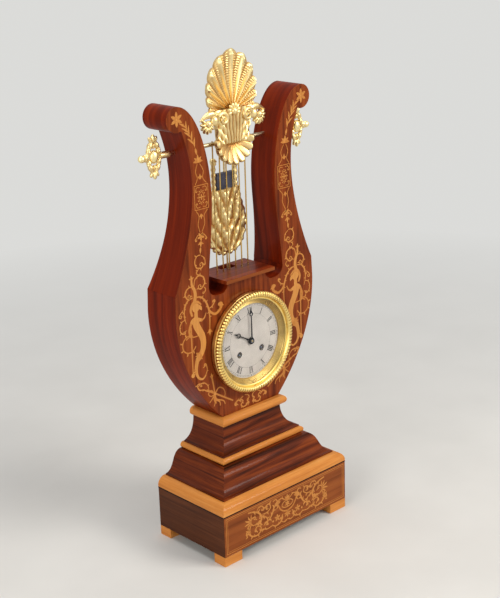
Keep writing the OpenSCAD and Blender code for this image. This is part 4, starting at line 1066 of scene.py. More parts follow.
@dataclass
class Plinth:
    """Feet, box and mouldings, each a profile mitred round the four sides."""

    finishes: Finishes
    box_run: Run = (113.0, 64.3, 64.3)
    ogee_run: Run = (101.0, 52.3, 62.0)
    fillet_run: Run = (74.2, 24.0, 61.0)
    cove_run: Run = (69.9, 19.7, 58.0)
    cap_run: Run = (58.2, 9.2, 57.5)
    foot_h: float = 13.2
    foot_w: float = 30.0
    foot_d: float = 21.0
    veneer: float = 0.08
    veneer_sunk: float = 0.05
    panel_edge: float = 0.4
    line_h: float = 1.6
    lip: float = 2.0
    box_top: float = 70.6
    thumb_in: float = 12.0
    thumb_top: float = 84.0
    ogee_in: float = 26.8
    ogee_top: float = 114.4
    fillet_top: float = 123.0
    cove_in: float = 18.0
    cove_pull: float = 17.0
    cove_top: float = 157.1

    @staticmethod
    def piece(name: str, node: str, finish: Material, slot: str, profile: Array, run: Run,
              square: bool = False, bevel: float = 0.35) -> None:
        """Build one moulding that stands for a node.

        Args:
            name: Name of the piece.
            node: The node.
            finish: Its material.
            slot: The record's finish that it belongs to.
            profile: Points of inset and height.
            run: Half width, front and back.
            square: Inset the back as well.
            bevel: Width of the rounding of sharp edges.
        """
        surface = Surface()
        surface.mitred(profile, run, square)
        surface.build(name, finish, "case", slot, [node], crease=28.0, bevel=bevel)

    @staticmethod
    def nose(low: float, high: float) -> Array:
        """Half a circle standing on its edge.

        Args:
            low: Height of its foot.
            high: Height of its top.

        Returns:
            Points of inset and height.
        """
        c, k = heading(np.linspace(-90, 90, 25)).T
        r = (high - low) / 2
        return np.column_stack([r * (1 - c), low + r * (1 + k)])

    def thumb(self) -> Array:
        """A short wall under a quarter of an ellipse.

        Returns:
            Points of inset and height.
        """
        foot = self.box_top + self.lip
        c, k = heading(np.linspace(0, 90, 24)).T
        curve = np.column_stack([self.thumb_in * (1 - c), foot + (self.thumb_top - foot) * k])
        return np.vstack([[[0.0, self.box_top]], curve])

    def ogee(self) -> Array:
        """A short wall under an S-shaped cubic.

        Returns:
            Points of inset and height.
        """
        foot, run_in, lip = self.thumb_top, self.ogee_in, self.lip
        curve = bezier((0.0, foot + lip), (0.6 * run_in, foot + 2 * lip), (0.4 * run_in, self.ogee_top - lip),
                       (run_in, self.ogee_top))
        return np.vstack([[[0.0, foot]], curve])

    def cove(self) -> Array:
        """A short wall under a hollow cubic that ends upright.

        Returns:
            Points of inset and height.
        """
        foot, run_in = self.fillet_top, self.cove_in
        curve = bezier((0.0, foot + self.lip), (0.65 * run_in, foot + 2.5 * self.lip),
                       (run_in, foot + self.cove_pull), (run_in, self.cove_top))
        return np.vstack([[[0.0, foot]], curve])

    def build(self) -> None:
        """Build every step of the plinth from the floor up."""
        f, (half_w, half_d, _) = self.finishes, self.box_run
        line_z = self.box_top - self.line_h
        feet = Surface()
        foot_run = (self.foot_w / 2, self.foot_d / 2, self.foot_d / 2)
        for sx in SIDES:
            for sy in SIDES:
                centre = (sx * (half_w - self.foot_w / 2), sy * (half_d - self.foot_d / 2))
                feet.mitred(upright(0.0, self.foot_h), foot_run, True, centre)
        feet.build("block_feet", f.satinwood, "case", "satinwood", ["feet"], bevel=0.6)
        self.piece("plinth_shell", "plinth_box", f.box_wood, "rosewood", upright(self.foot_h, self.box_top),
                   self.box_run, True, 0.5)
        panel = Surface()
        panel.mitred(upright(self.foot_h + self.panel_edge, line_z),
                     (half_w - self.panel_edge, self.veneer, self.veneer_sunk), True, (0.0, -half_d))
        panel.build("plinth_panel", f.panel_wood, "case", "rosewood")
        # A dark band round the top of the box, just under the thumb moulding.
        line = Surface()
        deep = half_d + self.veneer
        line_run = (half_w + self.veneer, deep, deep)
        line.mitred(upright(line_z, self.box_top - self.veneer_sunk), line_run, True)
        line.build("box_top_dark_band", f.dark_band_wood, "case", "rosewood")
        self.piece("thumb_moulding", "base_moulding", f.satinwood, "satinwood", self.thumb(), self.box_run)
        self.piece("ogee_shell", "ogee_moulding", f.rosewood, "rosewood", self.ogee(), self.ogee_run)
        self.piece("middle_band", "middle_fillet", f.satinwood, "satinwood",
                   self.nose(self.ogee_top, self.fillet_top), self.fillet_run)
        self.piece("cove_shell", "cove_moulding", f.rosewood, "rosewood", self.cove(), self.cove_run)
        self.piece("cap_band", "cap_moulding", f.satinwood, "satinwood", self.nose(self.cove_top, LYRE_Z),
                   self.cap_run)


@dataclass
class Inlay:
    """Flat strips let into a face, each a thin closed slip; mirrored to the other side if asked."""

    face_y: float = 0.0
    proud: float = 0.06
    sunk: float = 0.2
    mirror: bool = True
    step: float = 0.05
    levels: int = 29

    def __post_init__(self) -> None:
        """Start with no strips."""
        self.surface = Surface()
        self.count = 0

    def strip(self, left: Array, right: Array, tone: float = 0.6) -> None:
        """Add the slip between two edges, a hair higher or lower than the one before.

        Args:
            left: Points of one edge.
            right: As many points of the other edge.
            tone: Depth of colour.
        """
        self.count += 1
        top = -self.proud * (1.0 + self.step * (self.count % self.levels))
        corners = ((left, top), (right, top), (right, self.sunk), (left, self.sunk))
        for sign in (1.0, -1.0) if self.mirror else (1.0,):
            edges = [places(edge[:, 0] * sign, self.face_y + y, edge[:, 1]) for edge, y in corners]
            loop = np.stack(edges, axis=1)
            self.surface.grid(loop, tone=tone, round_cols=True)
            for row in (0, -1):
                self.surface.add(loop[row], np.array([[0, 1, 2, 3]]), tone=tone)

    def ribbon(self, path: Array, start: float, end: float | None = None, middle: float | None = None,
               tone: float = 0.6) -> None:
        """Add a line along a path, whose width goes from start over middle to end.

        Args:
            path: Its middle line.
            start: Width at the first point.
            end: Width at the last point, or that of the first.
            middle: Width halfway, or the mean of the two.
            tone: Depth of colour.
        """
        end = start if end is None else end
        middle = (start + end) / 2 if middle is None else middle
        t = np.linspace(0.0, 1.0, len(path))
        side = left_of(path) * np.interp(t, [0.0, 0.5, 1.0], [start, middle, end])[:, None] / 2
        self.strip(path + side, path - side, tone)

    def curve(self, knots: Sequence[Point], start: float, end: float | None = None,
              middle: float | None = None, tone: float = 0.6) -> None:
        """Add a ribbon along a smooth path through knots."""
        self.ribbon(smooth_path(knots), start, end, middle, tone)

    def bar(self, a: Point, b: Point, start: float, end: float | None = None, tone: float = 0.6) -> None:
        """Add a straight ribbon between two points."""
        self.ribbon(np.array([a, b], float), start, end, tone=tone)

    def leaf(self, root: Point, tip: Point, width: float, bend: float = 0.0, tone: float = 0.75) -> None:
        """Add a pointed leaf whose width is that of half a sine wave.

        Args:
            root: Where it starts.
            tip: Where it ends.
            width: Greatest width.
            bend: Bow of its middle line to the left, as a share of its length.
            tone: Depth of colour.
        """
        a, b = np.array(root, float), np.array(tip, float)
        t = np.linspace(0.0, 1.0, 9)[:, None]
        off = np.array([-(b - a)[1], (b - a)[0]]) * bend
        path = a + (b - a) * t + off * 4 * t * (1 - t)
        side = left_of(path) * (width / 2 * np.sin(np.pi * t**0.8) ** 0.8 + 0.02)
        self.strip(path + side, path - side, tone)

    def leaf_at(self, root: Array, way: Array, size: float, slim: float, bend: float) -> None:
        """Add a leaf of a given length in a given direction, with its width and bend as shares of it."""
        self.leaf(root, root + way / np.linalg.norm(way) * size, slim * size, bend)

    def fan(self, centre: Point, aim: float, spread: float, count: int, far: float, width: float,
            near: float = 0.6) -> None:
        """Add leaves spread evenly about a direction; the outer ones are shorter and curl away from it.

        Args:
            centre: Where they spring from.
            aim: Middle direction in degrees.
            spread: Angle from the middle to the outermost leaf.
            count: Number of leaves.
            far: Reach of the middle leaf.
            width: Width of a leaf.
            near: Distance of the roots from the centre.
        """
        for share in np.linspace(-1.0, 1.0, count):
            way = heading(aim + share * spread)
            less = 0.25 * abs(share)
            root, tip = centre + near * way, centre + far * (1.0 - less) * way
            self.leaf(root, tip, width, -0.2 * share, 0.85 - less)

    def disc(self, centre: Point, radius: float, tall: float = 1.0, tone: float = 0.9) -> None:
        """Add a round dot, or an oval.

        Args:
            centre: Its middle.
            radius: Half of its width.
            tall: Height as a share of the width.
            tone: Depth of colour.
        """
        stretch, middle = np.array([1.0, tall]), np.asarray(centre)
        upper, lower = (arc((0.0, 0.0), radius, 180, end, 12) * stretch + middle for end in (0, 360))
        self.strip(upper, lower, tone)

    def ring(self, centre: Point, rx: float, rz: float, width: float) -> None:
        """Add an oval line.

        Args:
            centre: Its middle.
            rx: Half of its width.
            rz: Half of its height.
            width: Width of the line.
        """
        way = heading(np.linspace(0.0, 360.0, 41))
        path = np.asarray(centre) + np.array([rx, rz]) * way
        self.strip(path + way * width / 2, path - way * width / 2, 0.7)

    def vine(self, knots: Sequence[Point], width: float, leaves: int, size: float = 0.0, curl: float = 0.0,
             turn: float = 0.0) -> None:
        """Add a stem that swells halfway, with bent leaves by turns on its two sides and a spiral at its end.

        Args:
            knots: Points that the stem passes through.
            width: Greatest width.
            leaves: Number of leaves.
            size: Length of a leaf.
            curl: Radius of the spiral; 0 leaves the end pointed.
            turn: Turn of the spiral in degrees, positive to the left.
        """
        path = smooth_path(knots)
        if curl:
            ahead = (path[-1] - path[-2]) / np.linalg.norm(path[-1] - path[-2])
            aside = math.copysign(curl, turn) * np.array([-ahead[1], ahead[0]])
            start = math.degrees(math.atan2(-aside[1], -aside[0]))
            path = joined(path, spiral(path[-1] + aside, curl, 0.3 * curl, start, turn, 30))
            self.disc(path[-1], 0.45 * width)
        self.ribbon(path, 0.6 * width, 0.4 * width, width, 0.7)
        side, ahead = left_of(path), directions(path)
        for number, share in enumerate(np.linspace(0.12, 0.72, leaves)):
            k = int(share * (len(path) - 1))
            sign = SIDES[number % 2]
            self.leaf_at(path[k], 1.1 * sign * side[k] + ahead[k], size, 0.34, -0.3 * sign)

    def flower(self, centre: Point, petals: int, far: float, width: float, start: float = 90.0) -> None:
        """Add a round flower of pointed petals about a dot.

        Args:
            centre: Its middle.
            petals: Number of petals.
            far: Reach of a petal.
            width: Width of a petal.
            start: Direction of the first petal in degrees.
        """
        for way in heading(np.arange(petals) * 360.0 / petals + start):
            self.leaf(centre + 0.12 * far * way, centre + far * way, width)
        self.disc(centre, 0.17 * far)

    def sprig(self, knots: Sequence[Point], count: int, size: float) -> None:
        """Add a thin stem with slender leaves by turns on its two sides, which point back along it.

        Args:
            knots: Points that the stem passes through.
            count: Number of leaves.
            size: Length of a leaf.
        """
        path = smooth_path(knots)
        self.ribbon(path, 0.6, 0.4)
        side, ahead = left_of(path), directions(path)
        for number, k in enumerate((np.linspace(0.2, 0.95, count) * (len(path) - 1)).astype(int)):
            sign = SIDES[number % 2]
            self.leaf_at(path[k], 0.5 * sign * side[k] - ahead[k], size, 0.2, 0.06 * sign)


@dataclass
class Marquetry:
    """The pale inlay of the lyre's face and of the plinth's front; the left half is drawn and mirrored."""

    finishes: Finishes
    plinth_y: float = -64.38
    panel: Point = (-71.0, 467.5)
    panel_half: Point = (11.0, 15.0)
    ring: Point = (-101.0, 284.5)
    ring_r: float = 11.3
    knot: Point = (-62.5, 206.0)
    oval: Point = (0.0, 48.5)

    def build(self) -> None:
        """Inlay both faces."""
        face, front = Inlay(), Inlay(self.plinth_y)
        for draw in (self.arm, self.shoulder, self.figure, self.trophy):
            draw(face)
        self.plinth(front)
        for name, pale in (("face_marquetry", face), ("plinth_marquetry", front)):
            pale.surface.build(name, self.finishes.boxwood_inlay, "case", "satinwood", crease=50.0)

    def arm(self, pale: Inlay) -> None:
        """Flower in the scroll, sprig, palmette, straps round the framed panel, and the drop below.

        Args:
            pale: Where the strips go.
        """
        pale.flower((-104.5, 567), 6, 9.5, 4.0)
        pale.sprig([(-95, 561.5), (-88.5, 551), (-83, 541), (-77.5, 528.5)], 8, 12.0)
        pale.leaf((-77.5, 528.5), (-75.5, 520), 3.2)
        pale.fan((-74, 510), 92, 80, 5, 10.5, 3.4)
        x, z = self.panel
        wide, tall = self.panel_half
        for s in SIDES:
            pale.curve([(-73.5 + 2 * s, 509), (-72.5 + 6.2 * s, 500), (-72 + 4.4 * s, 491), (x + 9 * s, 484)],
                       1.0)
            pale.curve([(x + 9 * s, 451), (-72 + 4.2 * s, 444), (-72.8 + 5.4 * s, 434), (-74 + 1.6 * s, 424)],
                       1.0)
            pale.bar((x + wide * s, z + tall), (x + wide * s, z - tall), 0.9)
            for v in (1.0, -1.0):
                knots = [(x + 2 * s, z + 12 * v), (x + 7 * s, z + 12.5 * v), (x + 9 * s, z + 9 * v)]
                pale.vine(knots, 1.1, 0, curl=1.8, turn=-260 * s * v)
            pale.vine([(-74.5, 421), (-74.5 + 5 * s, 420.5), (-74.5 + 9 * s, 416)], 1.6, 0,
                      curl=1.8, turn=-230 * s)
        for edge in (z + tall, z - tall):
            pale.bar((x - wide, edge), (x + wide, edge), 0.9)
        pale.ring((x, z), 4.0, 6.6, 0.9)
        for c, k in heading(np.arange(0, 360, 30)):
            pale.disc((x + 5.8 * c, z + 8.6 * k), 0.75)
        pale.flower((x, z), 4, 4.2, 1.8)
        pale.fan((-71.8, 489), 90, 45, 3, 8.0, 2.4)
        pale.fan((-72.5, 447.5), 270, 40, 3, 7.5, 2.2)
        pale.flower((-74.5, 418.5), 5, 6.0, 2.8, 270)
        pale.fan((-75.2, 413), 268, 50, 3, 8.5, 2.6)
        pale.leaf((-76, 405), (-76.8, 397), 3.0)

    @staticmethod
    def shoulder(pale: Inlay) -> None:
        """Scrolls over the figure, and the branches that run down on both sides of it.

        Args:
            pale: Where the strips go.
        """
        pale.vine([(-76.8, 395.5), (-83, 394.5), (-86.5, 388), (-84, 380.5), (-77.5, 378.5)],
                  1.9, 4, 4.6, 4.2, 330)
        pale.vine([(-76, 394.5), (-70.5, 390), (-69.5, 383)], 1.5, 2, 3.6, 1.8, -250)
        pale.vine([(-80.5, 378), (-84.5, 374), (-81.5, 369.8)], 1.6, 2, 4.2)
        pale.vine([(-89.5, 358), (-87.5, 366), (-80.5, 369.5), (-73.5, 366), (-71.8, 358.5), (-76.5, 352.8)],
                  2.2, 6, 4.6, 4.0, -330)
        pale.vine([(-73.5, 353.5), (-70.5, 349.5), (-73.5, 345.5)], 1.5, 1, 3.0, 1.6, -220)
        pale.curve([(-93, 367), (-92.8, 360), (-89.2, 353), (-88, 345.5), (-90, 336.5)], 2.6, 5.4, 4.6, 0.85)
        pale.fan((-93, 366), 95, 55, 3, 7.0, 2.4)
        pale.vine([(-91, 356.5), (-96.5, 358), (-102, 355.5), (-104.5, 350), (-102, 344.8)],
                  2.1, 5, 4.2, 3.8, 330)
        pale.vine([(-88, 342.5), (-79.5, 341.5), (-71.5, 333.5), (-67.2, 322.5), (-65.8, 310), (-66.5, 296)],
                  2.8, 8, 5.0)
        pale.fan((-66.5, 297), 270, 40, 3, 10.0, 2.4)
        pale.vine([(-68.5, 327), (-64.5, 318.5), (-56.5, 313.5), (-49, 316.5), (-45, 322)],
                  4.0, 4, 5.4, 3.0, 300)
        pale.vine([(-66.5, 323), (-61, 325), (-56.5, 330)], 2.2, 2, 4.0, 1.8, 240)
        pale.vine([(-92, 343.5), (-100.5, 341.5), (-106, 334), (-107.2, 322.5), (-104.5, 312.5)], 2.3, 6, 4.4)
        pale.vine([(-107, 326), (-111, 329.5), (-115, 325.5)], 1.6, 2, 3.4, 2.6, 300)
        pale.vine([(-106.5, 318), (-111.5, 316.5), (-115, 311), (-114, 303.5), (-109.5, 300.5)],
                  1.8, 5, 4.0, 2.0, 280)

    def figure(self, pale: Inlay) -> None:
        """A plain figure whose body runs out in a scrolled tail, with a staff and a ring.

        Args:
            pale: Where the strips go.
        """
        pale.disc((-88, 329.5), 6.0, 0.95, 0.95)
        pale.curve([(-94, 319.5), (-96.5, 327.5), (-92.5, 335.5), (-85, 336.5), (-79, 331.5)],
                   3.0, 1.8, 4.6, 0.72)
        pale.leaf((-84.5, 331), (-78.5, 324), 4.8, 0.1, 0.95)
        pale.bar((-88, 327), (-88.5, 313), 5.2, 5.8, 0.95)
        pale.curve([(-98, 309), (-93.5, 313.5), (-87, 313.5), (-78.5, 311)], 3.4, 3.0, 7.8, 0.95)
        pale.curve([(-89.5, 315), (-88.5, 307), (-84.5, 299), (-79.8, 290.5), (-78, 281), (-79.5, 272),
                    (-84.5, 264.5), (-89, 260)], 11.0, 7.0, 9.4, 0.92)
        pale.curve([(-88.5, 263), (-91.5, 252), (-91.5, 243), (-88, 235.5), (-81.5, 232.5), (-76, 236.5)],
                   7.0, 1.8, 3.6, 0.85)
        pale.vine([(-77, 235.5), (-73.8, 243), (-75, 250)], 1.9, 3, 3.8, 2.2, 290)
        pale.fan((-82.5, 268), 222, 60, 5, 12.0, 3.4, 1.5)
        pale.fan((-91.5, 246), 190, 60, 3, 7.0, 2.4)
        pale.curve([(-96.5, 311), (-100.5, 302), (-98, 292.5)], 4.0, 2.4)
        pale.curve([(-80.5, 310.5), (-75, 313), (-71.5, 319)], 3.0, 1.4)
        pale.bar((-97.2, 306), (-97.4, 243), 2.4, 1.8)
        pale.disc((-97.4, 241.5), 3.0)
        pale.curve([(-106, 291.5), (-100, 294), (-92, 292), (-80, 292.5)], 1.8, 1.3)
        pale.ribbon(arc(self.ring, self.ring_r, 60, 335, 40), 1.7)
        for way in heading(np.array([110, 160, 205, 250, 295])):
            pale.leaf(self.ring + 11.6 * way, self.ring + 16.0 * way, 2.0, 0.25)

    def trophy(self, pale: Inlay) -> None:
        """Ribbon-tied bars under the figure and the scrolls below the dial.

        Args:
            pale: Where the strips go.
        """
        x, z = self.knot
        pale.bar((x - 14, z + 9.5), (x + 31, z - 18.8), 2.6, 2.0)
        pale.curve([(x - 3.5, z + 22), (x - 1.5, z + 10), (x + 1.5, z - 14)], 2.8, 1.4)
        pale.fan((x - 3.5, z + 21), 98, 28, 3, 9.0, 2.8)
        for side, drop in ((-9.5, -9.5), (-2.0, -17.0), (8.5, -19.0), (17.0, -19.5)):
            near = (x + 0.2 * side - 1.2, z + 0.4 * drop)
            far = (x + 0.75 * side + 1.2, z + 0.7 * drop)
            pale.curve([(x, z), near, far, (x + side, z + drop)], 2.6, 1.2)
        pale.curve([(x, z), (x + 7, z + 6.5), (x + 14.5, z + 3), (x + 17.5, z - 4), (x + 16, z - 10)],
                   2.2, 1.2)
        pale.curve([(x, z), (x - 6, z + 6.5), (x - 11, z + 3), (x - 6.5, z - 1.5), (x, z)], 1.4)
        pale.disc((x, z), 2.0)
        pale.vine([(x - 4, z + 5), (x - 12, z + 7), (x - 18, z + 11), (x - 25.5, z + 13), (x - 29, z + 18.5)],
                  1.9, 5, 4.2, 2.2, -300)
        pale.vine([(x - 10, z + 8), (x - 11.5, z + 15), (x - 16.5, z + 20), (x - 22.5, z + 21)],
                  1.7, 4, 3.8, 2.2, 280)
        pale.vine([(-13.5, 187.5), (-18, 185), (-14, 181), (-17.5, 176.5), (-14, 172.5), (-7.5, 173.5)],
                  2.2, 5, 3.8, 1.6, 250)
        pale.vine([(-10.5, 188.5), (-4.8, 187), (-3, 183), (-6.5, 180), (-3.5, 176)], 1.9, 4, 3.4, 1.3, -230)
        pale.vine([(-17, 181), (-22.5, 184.5), (-27.5, 182)], 2.6, 3, 3.8, 2.2, 300)

    def plinth(self, pale: Inlay) -> None:
        """Double stringing round a field of mirrored scrolls about an oval.

        Args:
            pale: Where the strips go.
        """
        for x, low, high, width in ((109.2, 16.8, 66.4, 0.9), (106.8, 19.2, 64.0, 0.5)):
            for z in (low, high):
                pale.bar((-x, z), (0, z), width)
            pale.bar((-x, low), (-x, high), width)
        pale.ring(self.oval, 10.0, 5.0, 1.5)
        pale.flower(self.oval, 6, 4.8, 2.0)
        pale.fan((0, 53.5), 90, 75, 5, 9.0, 2.6)
        pale.curve([(-17, 53), (-13.5, 45), (-7.5, 40), (0, 38)], 1.8, 2.4)
        pale.fan((0, 37), 270, 75, 5, 9.5, 2.6)
        pale.vine([(-5, 55.5), (-10.5, 59.5), (-16.5, 58)], 2.2, 2, 4.0, 2.4, 300)
        pale.fan((-64, 46), 172, 78, 6, 15.0, 2.3, 3.5)
        pale.vine([(-56, 41), (-62, 40), (-66.5, 44), (-65.5, 50), (-60.5, 51.5)], 2.0, 2, 4.2, 2.6, -280)
        pale.vine([(-71, 61), (-61, 59), (-52, 54), (-47.5, 47), (-49, 40.5)], 3.1, 8, 7.4, 2.6, -270)
        pale.vine([(-46, 50), (-38, 49.5), (-31, 54), (-33.5, 60.2), (-38.5, 59.5)], 2.0, 6, 6.0, 2.4, 270)
        pale.vine([(-42, 36), (-34.5, 37.5), (-28.5, 43), (-25.5, 50), (-21.5, 54.5)], 2.7, 7, 7.2, 2.2, -290)
        pale.vine([(-29, 26.5), (-38, 25.5), (-46.5, 28), (-56, 23.5), (-65, 25.5), (-71.5, 31.5)],
                  2.3, 10, 6.4, 2.6, -300)
        pale.vine([(-48, 28), (-50, 34), (-56, 36), (-59.5, 32)], 2.3, 3, 4.6, 1.8, 260)
        pale.vine([(-29, 27.5), (-23, 24), (-15, 25), (-10, 29.5)], 2.6, 6, 5.2, 1.9, 280)
        pale.vine([(-52, 46), (-44, 45.5), (-38, 42), (-36.5, 36)], 2.1, 4, 6.0, 1.8, -250)
        pale.vine([(-56, 56.5), (-53, 61.5), (-46.5, 62), (-43, 57.5)], 1.9, 3, 5.0, 1.8, -260)
        pale.vine([(-26.5, 60.5), (-21.5, 62), (-18, 58)], 2.2, 2, 4.6, 1.6, -240)
        pale.vine([(-70.5, 37), (-75, 33), (-73, 26.5)], 2.4, 3, 5.0)
        pale.flower((-19, 34.5), 5, 5.4, 2.6)
        pale.vine([(0, 26), (-5, 23.5), (-9.5, 24.5)], 2.0, 1, 3.4)
        for x in (-27, -36.5):
            pale.disc((x, 32), 1.4)


@dataclass
class DialWork:
    """Gadrooned bezel, stepped sight ring and the printing of the dial."""

    finishes: Finishes
    rim: Point = (64.0, 11.0)
    rim_r: float = 3.8
    gadroons: int = 96
    gadroon_depth: float = 1.9
    hinge: Point = (70.5, -4.2)
    hinge_r: float = 2.2
    hinge_half: float = 4.5
    sight_lines: int = 5
    dial_y: float = -2.5
    numeral_r: float = 41.0
    numeral_h: float = 8.6
    letter_edge: float = 0.7
    thick: float = 1.15
    thin: float = 0.45
    serif: float = 0.35
    chapter_r: float = 36.2
    track_r: float = 47.6
    track_w: float = 1.7
    hole: Point = (19.75, -15.0)
    hole_r: float = 3.7

    def build(self) -> None:
        """Build the ring pieces and the printing."""
        self.build_bezel()
        self.build_sight()
        self.build_print()

    def build_bezel(self) -> None:
        """Door ring: the rim's radius swells and falls as a rectified cosine round the ring."""
        bend = np.linspace(-60, 180, 28)
        rim = np.asarray(self.rim) + self.rim_r * heading(bend)
        lead = np.array([[59.5, 1.7], [66.3, 1.7], [66.3, 7.0], [65.7, 7.5]])
        tail = np.array([[59.9, 9.9], [59.2, 10.6], [58.5, 10.6], [57.6, 10.0], [57.6, 9.35], [59.5, 9.35]])
        profile = np.vstack([lead, rim, tail])
        share = np.zeros((len(profile), 1))
        share[len(lead) : len(lead) + len(rim), 0] = unit(np.sin(np.radians(bend + 60) * 0.95)) ** 0.5
        steps = self.gadroons * 10
        phase = np.abs(np.cos(np.linspace(0.0, np.pi * self.gadroons, steps, endpoint=False)))
        ripple = -self.gadroon_depth * share * (1.0 - phase**0.6)
        surface = Surface()
        # Tone falls in the gadroons' grooves: painted shade there, painted highlight on the rounds.
        surface.turned(profile, steps, ripple, unit(0.95 + 0.7 * ripple))
        x, y = self.hinge
        surface.tube(places(x, y, DIAL_Z + self.hinge_half * np.array([-1.0, 0.0, 1.0])), self.hinge_r, 20)
        surface.tube(places(np.array([64.8, 67.6, x]), y, DIAL_Z), self.hinge_half, 4, 0.3)
        surface.build("gadrooned_bezel", self.finishes.bezel_gilt, "bezel_door", "gilt", ["bezel"])

    def build_sight(self) -> None:
        """Fixed ring that falls to the dial, with turned lines that are a cosine along its slope."""
        foot = np.array([[50.4, 2.55], [53.1, 2.55], [53.1, 1.6], [58.5, 1.6]])
        step = np.linspace(0.0, 1.0, 40)
        line = np.cos(2 * np.pi * self.sight_lines * step)
        ramp = np.column_stack([58.4 - 8.0 * step, 7.0 - 3.4 * step**0.8 + 0.28 * line])
        # Tone follows the turned lines: painted highlight on their crests, painted shade in their hollows.
        tone = np.concatenate([np.full(len(foot), 0.5), 0.62 + 0.3 * line])
        surface = Surface()
        surface.turned(np.vstack([foot, ramp]), 180, 0.0, tone[:, None])
        surface.build("stepped_sight_ring", self.finishes.bezel_gilt, "case", "gilt", ["sight_ring"],
                      crease=50.0)

    def stroke(self, ink: Inlay, a: Point, b: Point, width: float, angle: float) -> None:
        """Add one stroke of a numeral, cut off level at its ends.

        Args:
            ink: Where the strokes go.
            a: Its start, in the numeral's own upright frame.
            b: Its end.
            width: Its width along x, or along z for a level stroke.
            angle: The numeral's angle on the dial in degrees, clockwise from the top.
        """
        level = abs(a[1] - b[1]) <= 0.1
        half = np.array([0.0, width / 2]) if level else np.array([width / 2, 0.0])
        path = np.array([a, b], float) + np.array([0.0, self.numeral_r])
        c, k = heading(angle)
        spin = np.array([[c, -k], [k, c]])
        ink.strip(*((path + sign * half) @ spin + np.array([0.0, DIAL_Z]) for sign in SIDES))

    def numeral(self, ink: Inlay, text: str, angle: float) -> None:
        """Add a Roman numeral whose feet point to the dial's centre, between two thin bars.

        Args:
            ink: Where the strokes go.
            text: Its letters.
            angle: Its angle on the dial in degrees.
        """
        wide = {"I": 2.0, "V": 4.6, "X": 4.6}
        h, thick, thin = self.numeral_h / 2, self.thick, self.thin
        span = sum(wide[letter] for letter in text) / 2
        x = -span
        for letter in text:
            mid, left, right = x + wide[letter] / 2, x + self.letter_edge, x + wide[letter] - self.letter_edge
            strokes = {"I": [((mid, -h), (mid, h), thick)],
                       "V": [((left, h), (mid, -h), thick), ((right, h), (mid, -h), thin)],
                       "X": [((left, h), (right, -h), thick), ((right, h), (left, -h), thin)]}
            for a, b, width in strokes[letter]:
                self.stroke(ink, a, b, width, angle)
            x += wide[letter]
        for z in (-h, h):
            self.stroke(ink, (-span, z), (span, z), self.serif, angle)

    def build_print(self) -> None:
        """Numerals, minute track and the dark winding holes' rims."""
        ink = Inlay(self.dial_y, 0.03, 0.02, False)
        middle, far = (0.0, DIAL_Z), self.track_r + self.track_w
        for hour, text in enumerate("XII I II III IIII V VI VII VIII IX X XI".split()):
            self.numeral(ink, text, 30.0 * hour)
        for r, width in ((self.track_r, 0.22), (far, 0.22), (self.chapter_r, 0.16)):
            ink.ring(middle, r, r, width)
        for minute in range(60):
            way = heading(90.0 - 6.0 * minute)
            ink.bar(middle + self.track_r * way, middle + far * way, 0.3 if minute % 5 else 0.9)
        for side in SIDES:
            ink.ring((self.hole[0] * side, DIAL_Z + self.hole[1]), self.hole_r, self.hole_r, 1.0)
        ink.surface.build("dial_print", self.finishes.black_wax, "case", "blued", crease=50.0)


